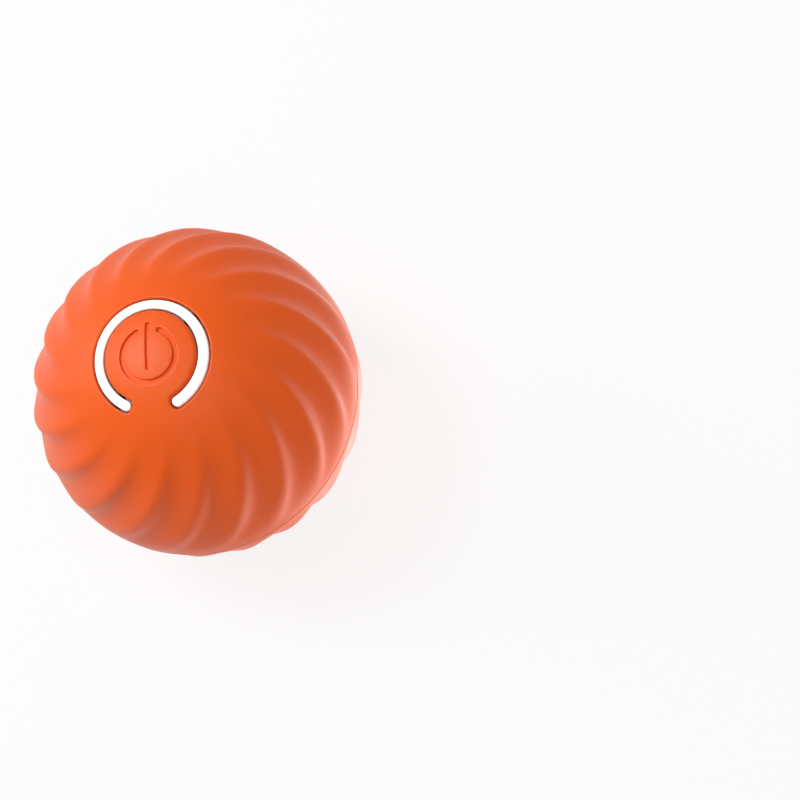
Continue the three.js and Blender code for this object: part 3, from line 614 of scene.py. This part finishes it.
clear_selection()
bpy.ops.mesh.primitive_cylinder_add(
    vertices=columns, radius=bay_radius, depth=button_wall, location=(0, 0, -button_wall / 2)
)
button = named("button_and_tongue")
slot = c_band("slot", ring_radius, slot_half_width, ring_start, ring_end, above, below)
combine(button, slot, "DIFFERENCE")
beyond = sector("beyond", ring_radius, ball_radius, bay_end, bay_start + 360, above, below)
combine(button, beyond, "DIFFERENCE")
pick(
    button,
    "EDGE",
    lambda p: abs(p.z) < touch
    and abs(band_distance(p, ring_radius, ring_start, ring_end) - slot_half_width) < touch,
)
round_edges(lip_round, lip_steps)
bpy.ops.object.mode_set(mode="OBJECT")

icon_start, icon_end = icon_gap / 2, 360 - icon_gap / 2
icon_ring = c_band(
    "icon_ring", icon_radius, icon_line / 2, icon_start, icon_end, above, -icon_depth
)
combine(button, icon_ring, "DIFFERENCE")
icon_bar = slot_bar(
    "icon_bar", icon_bar_top - icon_bar_bottom, icon_line, above, -icon_depth, along="Y"
)
icon_bar.data.transform(Matrix.Translation((0, (icon_bar_top + icon_bar_bottom) / 2, 0)))
combine(button, icon_bar, "DIFFERENCE")


def on_icon(point):
    """Whether a point of the flat plate lies on the upper edge of the symbol."""
    if abs(point.z) > touch:
        return False
    from_ring = band_distance(point, icon_radius, icon_start, icon_end)
    bar_end = icon_line / 2
    nearest_y = min(max(point.y, icon_bar_bottom + bar_end), icon_bar_top - bar_end)
    from_bar = math.hypot(point.x, point.y - nearest_y)
    return min(abs(from_ring - icon_line / 2), abs(from_bar - icon_line / 2)) < touch


pick(button, "EDGE", on_icon)
round_edges(icon_round, icon_steps)
grid_reach = math.ceil(bay_radius / grid_step)
grid_lines = [grid_step * (i + 0.5) for i in range(-grid_reach, grid_reach)]
for line in grid_lines:
    for place, normal in (((line, 0, 0), (1, 0, 0)), ((0, line, 0), (0, 1, 0))):
        bpy.ops.mesh.select_all(action="SELECT")
        bpy.ops.mesh.bisect(plane_co=place, plane_no=normal, threshold=on_plane)
bpy.ops.object.mode_set(mode="OBJECT")
lay_on_ball(tidy_faces(button))
faces(button)

# %% [markdown]
# ## Light ring
# The ring is a milky light guide. It lies a little under the skin in the slot, with four
# legs that take the light up from the lamps on the board.

# %% Model the light ring
ring_sink = 0.12 * MM
ring_round = 0.22 * MM
ring_depth = 2.05 * MM
leg_count, leg_facets = 4, 24
leg_radius = 0.65 * MM
leg_round, leg_steps = 0.1 * MM, 2
ring_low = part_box("light_ring")[0]
leg_bottom = ring_low.z - centre_height
light_ring = c_band(
    "light_guide",
    ring_radius,
    ring_width / 2,
    ring_start,
    ring_end,
    -ring_sink,
    -ring_depth,
    ring_round,
)
lay_on_ball(light_ring)
leg_top = ball_height(ring_radius) - ring_depth / 2
for number in range(leg_count):
    clear_selection()
    leg_clock = ring_gap_middle + 180 + 360 / leg_count * (number + 0.5)
    foot = clock_point(ring_radius, leg_clock, (leg_top + leg_bottom) / 2)
    bpy.ops.mesh.primitive_cylinder_add(
        vertices=leg_facets, radius=leg_radius, depth=leg_top - leg_bottom, location=foot
    )
    leg = named("leg")
    pick(leg, "EDGE", lambda p: abs(p.z - leg_bottom) < touch)
    round_edges(leg_round, leg_steps)
    bpy.ops.object.mode_set(mode="OBJECT")
    combine(light_ring, leg, "UNION")
faces(light_ring)

# %% [markdown]
# ## Rear half
# The rear half is the same ribbed ball. Round the charging socket it has a flat on which
# the ball stands, with a soft shoulder, and a pocket for the plug. The shoulder is drawn
# out loop by loop along a profile whose corners are rounded.

# %% Foot, pocket and inner wall
foot_radius = 7.4 * MM
foot_slope = 2.2 * MM
foot_level = -centre_height
shoulder_radius = foot_radius + foot_slope
pocket_length, pocket_width = 11.6 * MM, 6.0 * MM
pocket_top = -22.3 * MM
pocket_round, pocket_steps = 0.3 * MM, 4
rear_mouth_radius = 6.6 * MM
corner_margin = 0.8 * MM
shoulder_setback, foot_setback = 0.6 * MM, 0.7 * MM
soft_steps = 5
level_normal = 0.5


def soft_corner(before, corner, after, setback):
    """Points that round a corner: a Bezier whose handle is the corner itself."""
    points = []
    ends = []
    for other in (before, after):
        way = Vector(other) - Vector(corner)
        ends.append(Vector(corner) + way.normalized() * min(setback, way.length))
    for i in range(soft_steps + 1):
        t = i / soft_steps
        point = ends[0] * (1 - t) ** 2 + Vector(corner) * 2 * t * (1 - t) + ends[1] * t**2
        points.append(tuple(point))
    return points


foot_corners = [
    (shoulder_radius + corner_margin, -ball_height(shoulder_radius + corner_margin)),
    (shoulder_radius, -ball_height(shoulder_radius)),
    (foot_radius, foot_level),
    (foot_radius - corner_margin, foot_level),
]
foot_profile = [foot_corners[0]]
foot_profile += soft_corner(*foot_corners[:3], shoulder_setback)
foot_profile += soft_corner(*foot_corners[1:], foot_setback)
foot_profile += [foot_corners[3]]

rear = half_of("rear_cover", -1)
cut(rear, (0, 0, foot_corners[0][1]), (0, 0, -1), "outer")
pick_open(rear, lambda p: p.z < -ball_radius / 2)
draw_profile(foot_profile)
bpy.ops.object.mode_set(mode="OBJECT")
pocket = slot_bar("pocket", pocket_length, pocket_width, pocket_top, foot_level)
pick(pocket, "FACE", lambda p: True)
bpy.ops.object.mode_set(mode="OBJECT")
for face in pocket.data.polygons:
    face.select = abs(face.normal.z) > level_normal
bpy.ops.object.mode_set(mode="EDIT")
bpy.ops.mesh.delete(type="ONLY_FACE")
bpy.ops.object.mode_set(mode="OBJECT")
only(rear)
pocket.select_set(True)
bpy.ops.object.join()
pick_open(rear, lambda p: abs(p.z - foot_level) < touch)
bpy.ops.mesh.bridge_edge_loops()


def on_pocket_rim(point):
    """Whether a point lies on the rim of the pocket in the foot."""
    straight = (pocket_length - pocket_width) / 2
    nearest_x = min(max(point.x, -straight), straight)
    from_middle = math.hypot(point.x - nearest_x, point.y)
    return abs(point.z - foot_level) < touch and abs(from_middle - pocket_width / 2) < touch


pick(rear, "EDGE", on_pocket_rim)
round_edges(pocket_round, pocket_steps)
close_wall(rear, -1, rear_mouth_radius)
faces(rear)
bpy.data.objects.remove(cover)

# %% [markdown]
# ## Soft plug
# The plug closes the charging socket. Its cap has a rolled edge and a shallow dish for the
# thumb nail, and its nose reaches into the socket.

# %% Model the plug
plug_low, plug_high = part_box("port_plug")
plug_face = plug_low.z - centre_height
plug_nose = plug_high.z - centre_height
plug_length, plug_width = plug_high.x - plug_low.x, plug_high.y - plug_low.y
cap_top = -22.42 * MM
nose_inset = 1.65 * MM
dish_inset, dish_depth = 1.2 * MM, 0.18 * MM
plug_round, plug_steps = 0.16 * MM, 3

plug = slot_bar("soft_plug", plug_length, plug_width, cap_top, plug_face)


def pick_level_face(piece, level):
    """Selects the flat faces of a piece at a level."""
    pick(piece, "FACE", lambda p: abs(p.z - level) < touch)


pick_level_face(plug, cap_top)
bpy.ops.mesh.inset(thickness=nose_inset)
draw_out(plug_nose - cap_top)
pick_level_face(plug, plug_face)
bpy.ops.mesh.inset(thickness=dish_inset)
draw_out(dish_depth)
bpy.ops.mesh.inset(thickness=dish_depth)
pick(plug, "EDGE", lambda p: abs(p.z - plug_face) < touch)
round_edges(plug_round, plug_steps)
bpy.ops.object.mode_set(mode="OBJECT")
tidy_faces(plug)
faces(plug)

# %% [markdown]
# ## Soft inner pieces
# Three soft pieces inside are finished here: the seal between the shells, the tape over
# the battery and the flat cable between the boards. The tape is a strip that is drawn up,
# spun over the cell and drawn down. The cable is one core, spun and drawn along its path
# and repeated side by side, as flat cable is made.

# %% Seal
seal_half_width = 0.3 * MM
seal_middle_radius = seal_high.x - seal_half_width
seal_columns, seal_rows = 144, 16
clear_selection()
bpy.ops.mesh.primitive_torus_add(
    major_radius=seal_middle_radius,
    minor_radius=seal_half_width,
    major_segments=seal_columns,
    minor_segments=seal_rows,
)
seal = named("rim_seal")
pick_all(seal)
seal_stretch = (seal_high.z - seal_low.z) / 2 / seal_half_width
bpy.ops.transform.resize(value=(1, 1, seal_stretch), center_override=(0, 0, 0))
bpy.ops.object.mode_set(mode="OBJECT")
faces(seal)

# %% Tape over the battery
tape_low, tape_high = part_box("battery_strap")
tape_thickness = 0.8 * MM
tape_round, tape_round_steps, tape_steps = 0.18 * MM, 3, 36
sharp_angle = 60
tape_middle = (tape_low.y + tape_high.y) / 2
tape_reach = (tape_high.y - tape_low.y) / 2
tape_leg = tape_high.z - tape_reach - tape_low.z
tape_bottom = tape_low.z - centre_height
clear_selection()
bpy.ops.mesh.primitive_plane_add(
    size=1, location=(0, tape_low.y + tape_thickness / 2, tape_bottom)
)
bpy.context.object.scale = (tape_high.x - tape_low.x, tape_thickness, 1)
tape = named("battery_tape")
pick_all(tape)
draw_out(tape_leg)
bpy.ops.mesh.spin(
    steps=tape_steps,
    angle=math.pi,
    center=(0, tape_middle, tape_bottom + tape_leg),
    axis=(1, 0, 0),
)
draw_out(-tape_leg)
bpy.ops.object.mode_set(mode="OBJECT")
tidy_faces(tape)
apply_modifier(
    tape,
    "BEVEL",
    width=tape_round,
    segments=tape_round_steps,
    angle_limit=math.radians(sharp_angle),
)
faces(tape)

# %% Flat cable
core_count, core_pitch, core_radius = 5, 0.8 * MM, 0.42 * MM
core_sides, bend_steps, wall_steps = 16, 10, 35
wall_radius = 19.4 * MM
wall_from, wall_to = 66, 136
cable_clock = 30
cable_start = Vector((14.52, 0, 10.9)) * MM
cable_end = Vector((11.3, 0, -16.1)) * MM


def wall_point(polar):
    """A point on the cable's way along the shell, in the plane of its own middle line."""
    turn = math.radians(polar)
    return wall_radius * Vector((math.sin(turn), 0, math.cos(turn)))


bend_end = wall_point(wall_from)
chord = cable_start - bend_end
inwards = -bend_end.normalized()
bend_radius = chord.length_squared / (2 * chord.dot(inwards))
bend_turn = 2 * math.asin(chord.length / (2 * bend_radius))
bend_centre = bend_end + bend_radius * inwards
cores = []
for number in range(core_count):
    clear_selection()
    bpy.ops.mesh.primitive_circle_add(
        vertices=core_sides,
        radius=core_radius,
        fill_type="NGON",
        location=cable_start,
        rotation=(0, math.radians(90 + wall_from) - bend_turn, 0),
    )
    core = named("core")
    pick_all(core)
    bpy.ops.mesh.spin(
        steps=bend_steps, angle=-bend_turn, center=bend_centre, axis=(0, 1, 0)
    )
    bpy.ops.mesh.spin(
        steps=wall_steps,
        angle=-math.radians(wall_to - wall_from),
        center=(0, 0, 0),
        axis=(0, 1, 0),
    )
    bpy.ops.mesh.extrude_region_move(
        TRANSFORM_OT_translate={"value": cable_end - wall_point(wall_to)}
    )
    bpy.ops.object.mode_set(mode="OBJECT")
    tidy_faces(core)
    sideways = (number - (core_count - 1) / 2) * core_pitch
    core.data.transform(Matrix.Translation((0, sideways, 0)))
    cores.append(core)
cable = cores[0]
for core in cores[1:]:
    combine(cable, core, "UNION")
cable.name = cable.data.name = "flat_cable"
cable.data.transform(Matrix.Rotation(math.radians(90 - cable_clock), 4, "Z"))
faces(cable)

# %% [markdown]
# ## Stand the pieces on the foot
# All pieces so far were modelled round the ball's centre. The frame's origin is on the
# floor under the foot, so they move up by the height of the centre.

# %% Lift, shade and place
smooth_angle = 35
soft_pieces = (front, rear, button, light_ring, plug, seal, tape, cable)
for piece in soft_pieces:
    piece.data.transform(Matrix.Translation((0, 0, centre_height)))
    only(piece)
    bpy.ops.object.shade_smooth_by_angle(angle=math.radians(smooth_angle))
print("pieces:", [piece.name for piece in soft_pieces])

# %% [markdown]
# ## Surfaces
# Nearly every surface here is moulded, pressed or turned, and differs in its colour patches,
# its grain and how evenly it shines. One shared group makes all three from object
# coordinates, and each material adds what is its own: threads, tracks, turning marks.

# %% Shared surface group
def link_value(tree, socket, value):
    """Feeds a socket from a link, or sets its number."""
    if isinstance(value, bpy.types.NodeSocket):
        tree.links.new(value, socket)
    else:
        socket.default_value = value


def math_node(tree, operation, first, second=0.0, third=0.0):
    """A math node with its inputs filled, returned as its output."""
    node = tree.nodes.new("ShaderNodeMath")
    node.operation = operation
    for socket, value in zip(node.inputs, (first, second, third)):
        link_value(tree, socket, value)
    return node.outputs[0]


def sine(tree, value, frequency):
    """The sine of a value times a frequency."""
    return math_node(tree, "SINE", math_node(tree, "MULTIPLY", value, frequency))


def noise(tree, where, scale, detail=3.0):
    """Noise at a scale, as a factor that varies round one half."""
    node = tree.nodes.new("ShaderNodeTexNoise")
    node.inputs["Detail"].default_value = detail
    link_value(tree, node.inputs["Scale"], scale)
    tree.links.new(where, node.inputs["Vector"])
    return node.outputs["Fac"]


def bump(tree, height, depth, normal=None):
    """A bump node for a height from 0 to 1 and a depth in metres."""
    node = tree.nodes.new("ShaderNodeBump")
    link_value(tree, node.inputs["Distance"], depth)
    tree.links.new(height, node.inputs["Height"])
    if normal is not None:
        tree.links.new(normal, node.inputs["Normal"])
    return node.outputs["Normal"]


surface_group = bpy.data.node_groups.new("surface", "ShaderNodeTree")
for label, kind in (
    ("Colour", "NodeSocketColor"),
    ("Patch Scale", "NodeSocketFloat"),
    ("Patch Share", "NodeSocketFloat"),
    ("Roughness", "NodeSocketFloat"),
    ("Roughness Share", "NodeSocketFloat"),
    ("Grain Scale", "NodeSocketFloat"),
    ("Grain Depth", "NodeSocketFloat"),
):
    surface_group.interface.new_socket(name=label, in_out="INPUT", socket_type=kind)
for label, kind in (
    ("Colour", "NodeSocketColor"),
    ("Roughness", "NodeSocketFloat"),
    ("Normal", "NodeSocketVector"),
):
    surface_group.interface.new_socket(name=label, in_out="OUTPUT", socket_type=kind)
given = surface_group.nodes.new("NodeGroupInput").outputs
made = surface_group.nodes.new("NodeGroupOutput").inputs
place = surface_group.nodes.new("ShaderNodeTexCoord").outputs["Object"]
patches = noise(surface_group, place, given["Patch Scale"])
centred = math_node(surface_group, "SUBTRACT", patches, 0.5)
brightness = math_node(surface_group, "MULTIPLY_ADD", centred, given["Patch Share"], 1.0)
tint = surface_group.nodes.new("ShaderNodeHueSaturation")
surface_group.links.new(brightness, tint.inputs["Value"])
surface_group.links.new(given["Colour"], tint.inputs["Color"])
surface_group.links.new(tint.outputs["Color"], made["Colour"])
surface_group.links.new(
    math_node(
        surface_group, "MULTIPLY_ADD", centred, given["Roughness Share"], given["Roughness"]
    ),
    made["Roughness"],
)
grain = noise(surface_group, place, given["Grain Scale"], detail=5.0)
surface_group.links.new(bump(surface_group, grain, given["Grain Depth"]), made["Normal"])
print("surface group:", len(surface_group.nodes), "nodes")

# %% [markdown]
# ## How a finish is made
# Each finish is one material. Its shader takes colour, roughness and normal from the shared
# group, and a finish may lay more on top: a mark is another bump, speckle is a mark made of
# noise, and a mix brings in a second colour by a mask. A number that is the same all over a
# surface is set on the shader's own socket. A Mix node has sockets for every kind of value,
# so the colour ones are picked by their numbers.

# %% Finishes
wave_turn = 20
mix_share, mix_first, mix_second, mix_result = 0, 6, 7, 2


class Finish:
    """A material fed by the surface group, with room for its own marks.

    roughness holds a mean and how far it varies. patches and grain hold a frequency per
    millimetre, with the patches' share of the brightness or the grain's depth in millimetres.
    """

    def __init__(self, name, colour, roughness, patches, grain, **settings):
        self.material = bpy.data.materials.new(name)
        self.material.use_nodes = True
        self.tree = self.material.node_tree
        self.shader = self.tree.nodes["Principled BSDF"]
        self.group = self.tree.nodes.new("ShaderNodeGroup")
        self.group.node_tree = surface_group
        values = {
            "Colour": (*colour, 1),
            "Patch Scale": patches[0] / MM,
            "Patch Share": patches[1],
            "Roughness": roughness[0],
            "Roughness Share": roughness[1],
            "Grain Scale": grain[0] / MM,
            "Grain Depth": grain[1] * MM,
        }
        for label, value in values.items():
            self.group.inputs[label].default_value = value
        self.colour = self.group.outputs["Colour"]
        self.rough = self.group.outputs["Roughness"]
        self.normal = self.group.outputs["Normal"]
        for label, value in settings.items():
            self.shader.inputs[label.replace("_", " ")].default_value = value
        self.join()

    def join(self):
        """Feeds the shader from the present colour, roughness and normal."""
        self.tree.links.new(self.colour, self.shader.inputs["Base Color"])
        self.tree.links.new(self.rough, self.shader.inputs["Roughness"])
        self.tree.links.new(self.normal, self.shader.inputs["Normal"])

    def place(self, stretch=(1, 1, 1)):
        """Object coordinates, stretched along the axes."""
        coordinates = self.tree.nodes.new("ShaderNodeTexCoord")
        mapping = self.tree.nodes.new("ShaderNodeMapping")
        mapping.inputs["Scale"].default_value = stretch
        self.tree.links.new(coordinates.outputs["Object"], mapping.inputs["Vector"])
        return mapping.outputs["Vector"]

    def mark(self, height, depth):
        """Lays another bump over the grain."""
        self.normal = bump(self.tree, height, depth * MM, self.normal)
        self.join()

    def mix(self, share, colour):
        """Blends another colour in where a mask is 1."""
        node = self.tree.nodes.new("ShaderNodeMix")
        node.data_type = "RGBA"
        self.tree.links.new(share, node.inputs[mix_share])
        self.tree.links.new(self.colour, node.inputs[mix_first])
        node.inputs[mix_second].default_value = (*colour, 1)
        self.colour = node.outputs[mix_result]
        self.join()

    def speckle(self, per_mm, depth, stretch=(1, 1, 1), detail=3.0):
        """Lays noise over the grain, of a frequency per millimetre and a depth in millimetres."""
        self.mark(noise(self.tree, self.place(stretch), per_mm / MM, detail), depth)

    def rings(self, pitch):
        """Rings round the polar axis, with a pitch in millimetres.

        At scale 1 a Wave texture turns 20 radians a unit, which is wave_turn.
        """
        node = self.tree.nodes.new("ShaderNodeTexWave")
        node.wave_type = "RINGS"
        node.rings_direction = "Z"
        node.inputs["Scale"].default_value = 2 * math.pi / (wave_turn * pitch * MM)
        self.tree.links.new(self.place(), node.inputs["Vector"])
        return node.outputs["Fac"]


print("finishes can be made")

# %% [markdown]
# ## Silicone and light guide
# The cover is soft silicone with a dull, even sheen and hardly any grain. The light guide
# is milky plastic that scatters light inside it. Its upper face has a painted glow, a faint
# emission that keeps it pure white. A mask takes the distance from the ball's centre, so that
# the legs below it stay dark.

# %% Silicone and light guide
painted_glow_depth, painted_glow_strength = 0.3 * MM, 0.3
orange = Finish(
    "orange_silicone",
    (0.87, 0.108, 0.006),
    (0.4, 0.08),
    (0.12, 0.05),
    (5, 0.003),
    Specular_IOR_Level=0.27,
)
guide = Finish(
    "white_light_guide",
    (0.93, 0.93, 0.92),
    (0.3, 0.05),
    (0.2, 0.03),
    (4, 0.002),
    Subsurface_Weight=0.3,
    Subsurface_Scale=0.8 * MM,
    Emission_Color=(1, 1, 1, 1),
)
# Painted glow: only the guide's upper face emits a faint light, so that it reads pure white.
from_centre = guide.tree.nodes.new("ShaderNodeVectorMath")
from_centre.operation = "DISTANCE"
from_centre.inputs[1].default_value = ball_centre
guide.tree.links.new(guide.place(), from_centre.inputs[0])
painted_glow_mask = math_node(
    guide.tree, "GREATER_THAN", from_centre.outputs["Value"], cap_radius - ring_sink - painted_glow_depth
)
guide.tree.links.new(
    math_node(guide.tree, "MULTIPLY", painted_glow_mask, painted_glow_strength),
    guide.shader.inputs["Emission Strength"],
)
print("made:", orange.material.name, guide.material.name)

# %% [markdown]
# ## Plastics and metals
# The shells show the long flow marks of moulding, and the frame an even, eroded grain. The
# gears have fine rings round the main axle. Steel is drawn along one way, so its noise is
# stretched, and the cast weight is coarse.

# %% Plastics and metals
shell = Finish("shell_plastic", (0.72, 0.7, 0.66), (0.5, 0.12), (0.15, 0.08), (3, 0.008))
shell.speckle(0.6, depth=0.02, stretch=(0.2, 0.2, 2), detail=2.0)
frame_plastic = Finish("frame_plastic", (0.04, 0.045, 0.05), (0.5, 0.2), (0.4, 0.3), (6, 0.012))
frame_plastic.speckle(1.8, depth=0.012, detail=4.0)
gear = Finish(
    "gear_plastic",
    (0.85, 0.84, 0.78),
    (0.38, 0.1),
    (0.3, 0.06),
    (5, 0.003),
    Subsurface_Weight=0.1,
    Subsurface_Scale=0.4 * MM,
)
gear.mark(gear.rings(pitch=0.12), depth=0.003)
black = Finish("black_plastic", (0.012, 0.013, 0.014), (0.45, 0.15), (0.8, 0.3), (7, 0.006))
black.speckle(2.2, depth=0.008, detail=4.0)
steel = Finish(
    "bright_steel", (0.62, 0.63, 0.64), (0.28, 0.15), (0.5, 0.12), (8, 0.002), Metallic=1
)
steel.speckle(1.2, depth=0.006, stretch=(1, 1, 18), detail=4.0)
weight = Finish(
    "weight_metal", (0.33, 0.34, 0.35), (0.5, 0.25), (0.6, 0.35), (2.5, 0.03), Metallic=1
)
weight.speckle(0.7, depth=0.05, detail=5.0)
print("made:", [f.material.name for f in (shell, frame_plastic, gear, black, steel, weight)])

# %% [markdown]
# ## Circuit board
# Under the board's green mask run raised tracks, and the joints of a brick pattern stand
# for them. The bare metal pads are the middles of a Voronoi pattern's cells.

# %% Circuit board
track_scale, track_width, track_blur = 0.45 / MM, 0.04, 0.3
pad_scale, pad_reach = 0.5 / MM, 0.16
board = Finish("circuit_board", (0.02, 0.16, 0.07), (0.32, 0.08), (0.3, 0.1), (6, 0.003))
tracks = board.tree.nodes.new("ShaderNodeTexBrick")
tracks.inputs["Scale"].default_value = track_scale
tracks.inputs["Mortar Size"].default_value = track_width
tracks.inputs["Mortar Smooth"].default_value = track_blur
tracks.inputs["Color1"].default_value = tracks.inputs["Color2"].default_value = (0, 0, 0, 1)
tracks.inputs["Mortar"].default_value = (1, 1, 1, 1)
board.tree.links.new(board.place(), tracks.inputs["Vector"])
board.mix(tracks.outputs["Fac"], (0.05, 0.26, 0.11))
board.mark(tracks.outputs["Fac"], depth=0.03)
dots = board.tree.nodes.new("ShaderNodeTexVoronoi")
dots.inputs["Scale"].default_value = pad_scale
board.tree.links.new(board.place(), dots.inputs["Vector"])
pads = math_node(board.tree, "LESS_THAN", dots.outputs["Distance"], pad_reach)
board.mix(pads, (0.62, 0.6, 0.5))
board.tree.links.new(pads, board.shader.inputs["Metallic"])
print("made:", board.material.name)

# %% [markdown]
# ## Cell, tape, cable and rubber
# The cell has a glossy plastic sleeve with faint creases. The tape is woven, and its
# threads follow the strip: one set runs by X, the other by the angle round the cell, which
# the strip goes over. The cable's sheath and the soft rubber are dull.

# %% Cell, tape, cable and rubber
wrap = Finish(
    "cell_wrap", (0.05, 0.17, 0.42), (0.28, 0.12), (0.25, 0.15), (5, 0.002), Coat_Weight=0.3
)
wrap.speckle(0.9, depth=0.03, stretch=(0.15, 1, 1))
tape_finish = Finish(
    "woven_tape", (0.03, 0.03, 0.033), (0.75, 0.1), (0.5, 0.3), (9, 0.01), Sheen_Weight=0.3
)
parts = tape_finish.tree.nodes.new("ShaderNodeSeparateXYZ")
tape_finish.tree.links.new(tape_finish.place(), parts.inputs[0])
across = math_node(tape_finish.tree, "SUBTRACT", parts.outputs["Y"], tape_middle)
upwards = math_node(
    tape_finish.tree, "SUBTRACT", parts.outputs["Z"], tape_bottom + tape_leg + centre_height
)
around = math_node(tape_finish.tree, "ARCTAN2", upwards, across)
warp_pitch, weft_pitch = 0.3 * MM, 0.4 * MM
weft = sine(tape_finish.tree, around, 2 * math.pi * tape_reach / weft_pitch)
warp = sine(tape_finish.tree, parts.outputs["X"], 2 * math.pi / warp_pitch)
weave = math_node(tape_finish.tree, "MULTIPLY", weft, warp)
threads = math_node(tape_finish.tree, "MULTIPLY_ADD", weave, 0.5, 0.5)
tape_finish.mark(threads, depth=0.08)
tape_finish.mix(threads, (0.012, 0.012, 0.014))
sheath = Finish("cable_sheath", (0.22, 0.23, 0.24), (0.5, 0.1), (0.4, 0.15), (6, 0.005))
sheath.speckle(1.5, depth=0.01, stretch=(1, 1, 0.3))
rubber = Finish("soft_black_rubber", (0.02, 0.02, 0.021), (0.55, 0.12), (0.6, 0.25), (6, 0.01))
rubber.speckle(1.6, depth=0.01, detail=4.0)
print("made:", [f.material.name for f in (wrap, tape_finish, sheath, rubber)])

# %% [markdown]
# ## Give every node its finish
# The frame's record names a material slot for each of its pieces. A CAD piece keeps its
# mesh, and only the material in its slots changes.

# %% Assign the finishes
finishes = {
    "soft_orange": orange,
    "light_guide": guide,
    "shell_plastic": shell,
    "frame_plastic": frame_plastic,
    "gear_plastic": gear,
    "bright_steel": steel,
    "weight_metal": weight,
    "circuit_board": board,
    "black_plastic": black,
    "cell_wrap": wrap,
    "strap_fabric": tape_finish,
    "cable_sheath": sheath,
    "soft_black": rubber,
}
for subpart in frame["record"]["subparts"]:
    for held in nodes[subpart["node"]].material_slots:
        held.material = finishes[subpart["material_slot"]].material
print("materials:", len(finishes))

# %% [markdown]
# ## Lamps and background
# Three soft lamps stand round the ball. A low one lights the left flank, a high one gives
# the most light and throws its sheen on the button, and a broad one fills from above. Two
# small lamps that lie on the floor lighten the rim at the right from below. With the dim
# world, they light the ball so that a colour renders about as it is written. Seen by the
# camera, and in metal and gloss, the world and the floor are white, and the floor keeps
# the ball's shadow.

# %% Lamps
lamp_lift = 0.5 * MM


def lamp(name, clock, elevation, distance, size, power):
    """A soft square lamp that faces the ball, at a clock angle and an elevation."""
    data = bpy.data.lights.new(name, "AREA")
    data.size = size
    data.energy = power
    rise = math.radians(elevation)
    place = ball_centre + clock_point(
        distance * math.cos(rise), clock, distance * math.sin(rise)
    )
    made = bpy.data.objects.new(name, data)
    made.matrix_world = Matrix.Translation(place) @ (place - ball_centre).to_track_quat(
        "Z", "Y"
    ).to_matrix().to_4x4()
    made.visible_camera = False
    bpy.context.scene.collection.objects.link(made)
    return made


def floor_lamp(name, clock, distance, size, power):
    """A soft lamp that lies on the floor beside the ball and faces up."""
    made = lamp(name, clock, elevation=90, distance=distance, size=size, power=power)
    place = clock_point(distance, clock, lamp_lift)
    made.matrix_world = Matrix.Translation(place) @ Matrix.Rotation(math.pi, 4, "X")
    return made


lamp("key", clock=290, elevation=31, distance=0.45, size=0.22, power=0.42)
lamp("high_key", clock=303, elevation=64, distance=0.45, size=0.16, power=0.95)
lamp("top", clock=130, elevation=72, distance=0.6, size=0.5, power=0.85)
floor_lamp("right_flank", clock=120, distance=0.065, size=0.08, power=0.024)
floor_lamp("far_flank", clock=70, distance=0.065, size=0.08, power=0.015)


# %% World
def seen_directly(tree):
    """A mask of the rays that come from the camera, or by gloss or through glass."""
    path = tree.nodes.new("ShaderNodeLightPath")
    mask = math_node(
        tree, "MAXIMUM", path.outputs["Is Camera Ray"], path.outputs["Is Glossy Ray"]
    )
    return math_node(tree, "MAXIMUM", mask, path.outputs["Is Transmission Ray"])


ambient = 0.3
world = bpy.data.worlds.new("studio")
bpy.context.scene.world = world
world.use_nodes = True
backdrop = world.node_tree.nodes["Background"]
backdrop.inputs["Color"].default_value = (1, 1, 1, 1)
world.node_tree.links.new(
    math_node(
        world.node_tree,
        "MULTIPLY_ADD",
        seen_directly(world.node_tree),
        1 - ambient,
        ambient,
    ),
    backdrop.inputs["Strength"],
)
print("ambient light:", ambient)

# %% Floor
floor_white_share = 0.85
floor_side = 3
paper_grey, paper_roughness = 0.9, 0.9
clear_selection()
bpy.ops.mesh.primitive_plane_add(size=floor_side)
floor = named("floor")
paper = bpy.data.materials.new("paper")
paper.use_nodes = True
paper_tree = paper.node_tree
sheet = paper_tree.nodes["Principled BSDF"]
sheet.inputs["Base Color"].default_value = (paper_grey, paper_grey, paper_grey, 1)
sheet.inputs["Roughness"].default_value = paper_roughness
glow = paper_tree.nodes.new("ShaderNodeEmission")
blend = paper_tree.nodes.new("ShaderNodeMixShader")
paper_tree.links.new(
    math_node(paper_tree, "MULTIPLY", seen_directly(paper_tree), floor_white_share),
    blend.inputs["Fac"],
)
paper_tree.links.new(sheet.outputs["BSDF"], blend.inputs[1])
paper_tree.links.new(glow.outputs["Emission"], blend.inputs[2])
paper_tree.links.new(blend.outputs["Shader"], paper_tree.nodes["Material Output"].inputs["Surface"])
floor.data.materials.append(paper)
print("floor side:", floor_side, "m")

# %% [markdown]
# ## Placing
# Each finished piece takes the place of its node in the frame, and all but the button ride
# on the node's body. The button with its tongue rides on no body, and its place is put into its
# mesh.

# %% Placing
placed = (
    (front, "ball", "front_skin", "soft_orange"),
    (rear, "ball", "rear_skin", "soft_orange"),
    (button, None, "power_button", "soft_orange"),
    (light_ring, "ball", "light_ring", "light_guide"),
    (plug, "plug", "port_plug", "soft_black"),
    (seal, "ball", "seal_ring", "soft_black"),
    (tape, "ball", "battery_strap", "strap_fabric"),
    (cable, "ball", "wire_harness", "cable_sheath"),
)
for piece, body, node, slot in placed:
    piece.data.materials.clear()
    piece.data.materials.append(finishes[slot].material)
    if body:
        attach(piece, body)
    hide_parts(node)
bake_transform(button)
print("placed:", [piece.name for piece, *_ in placed])

# %% Close the scene
bpy.context.scene.view_settings.view_transform = "Standard"
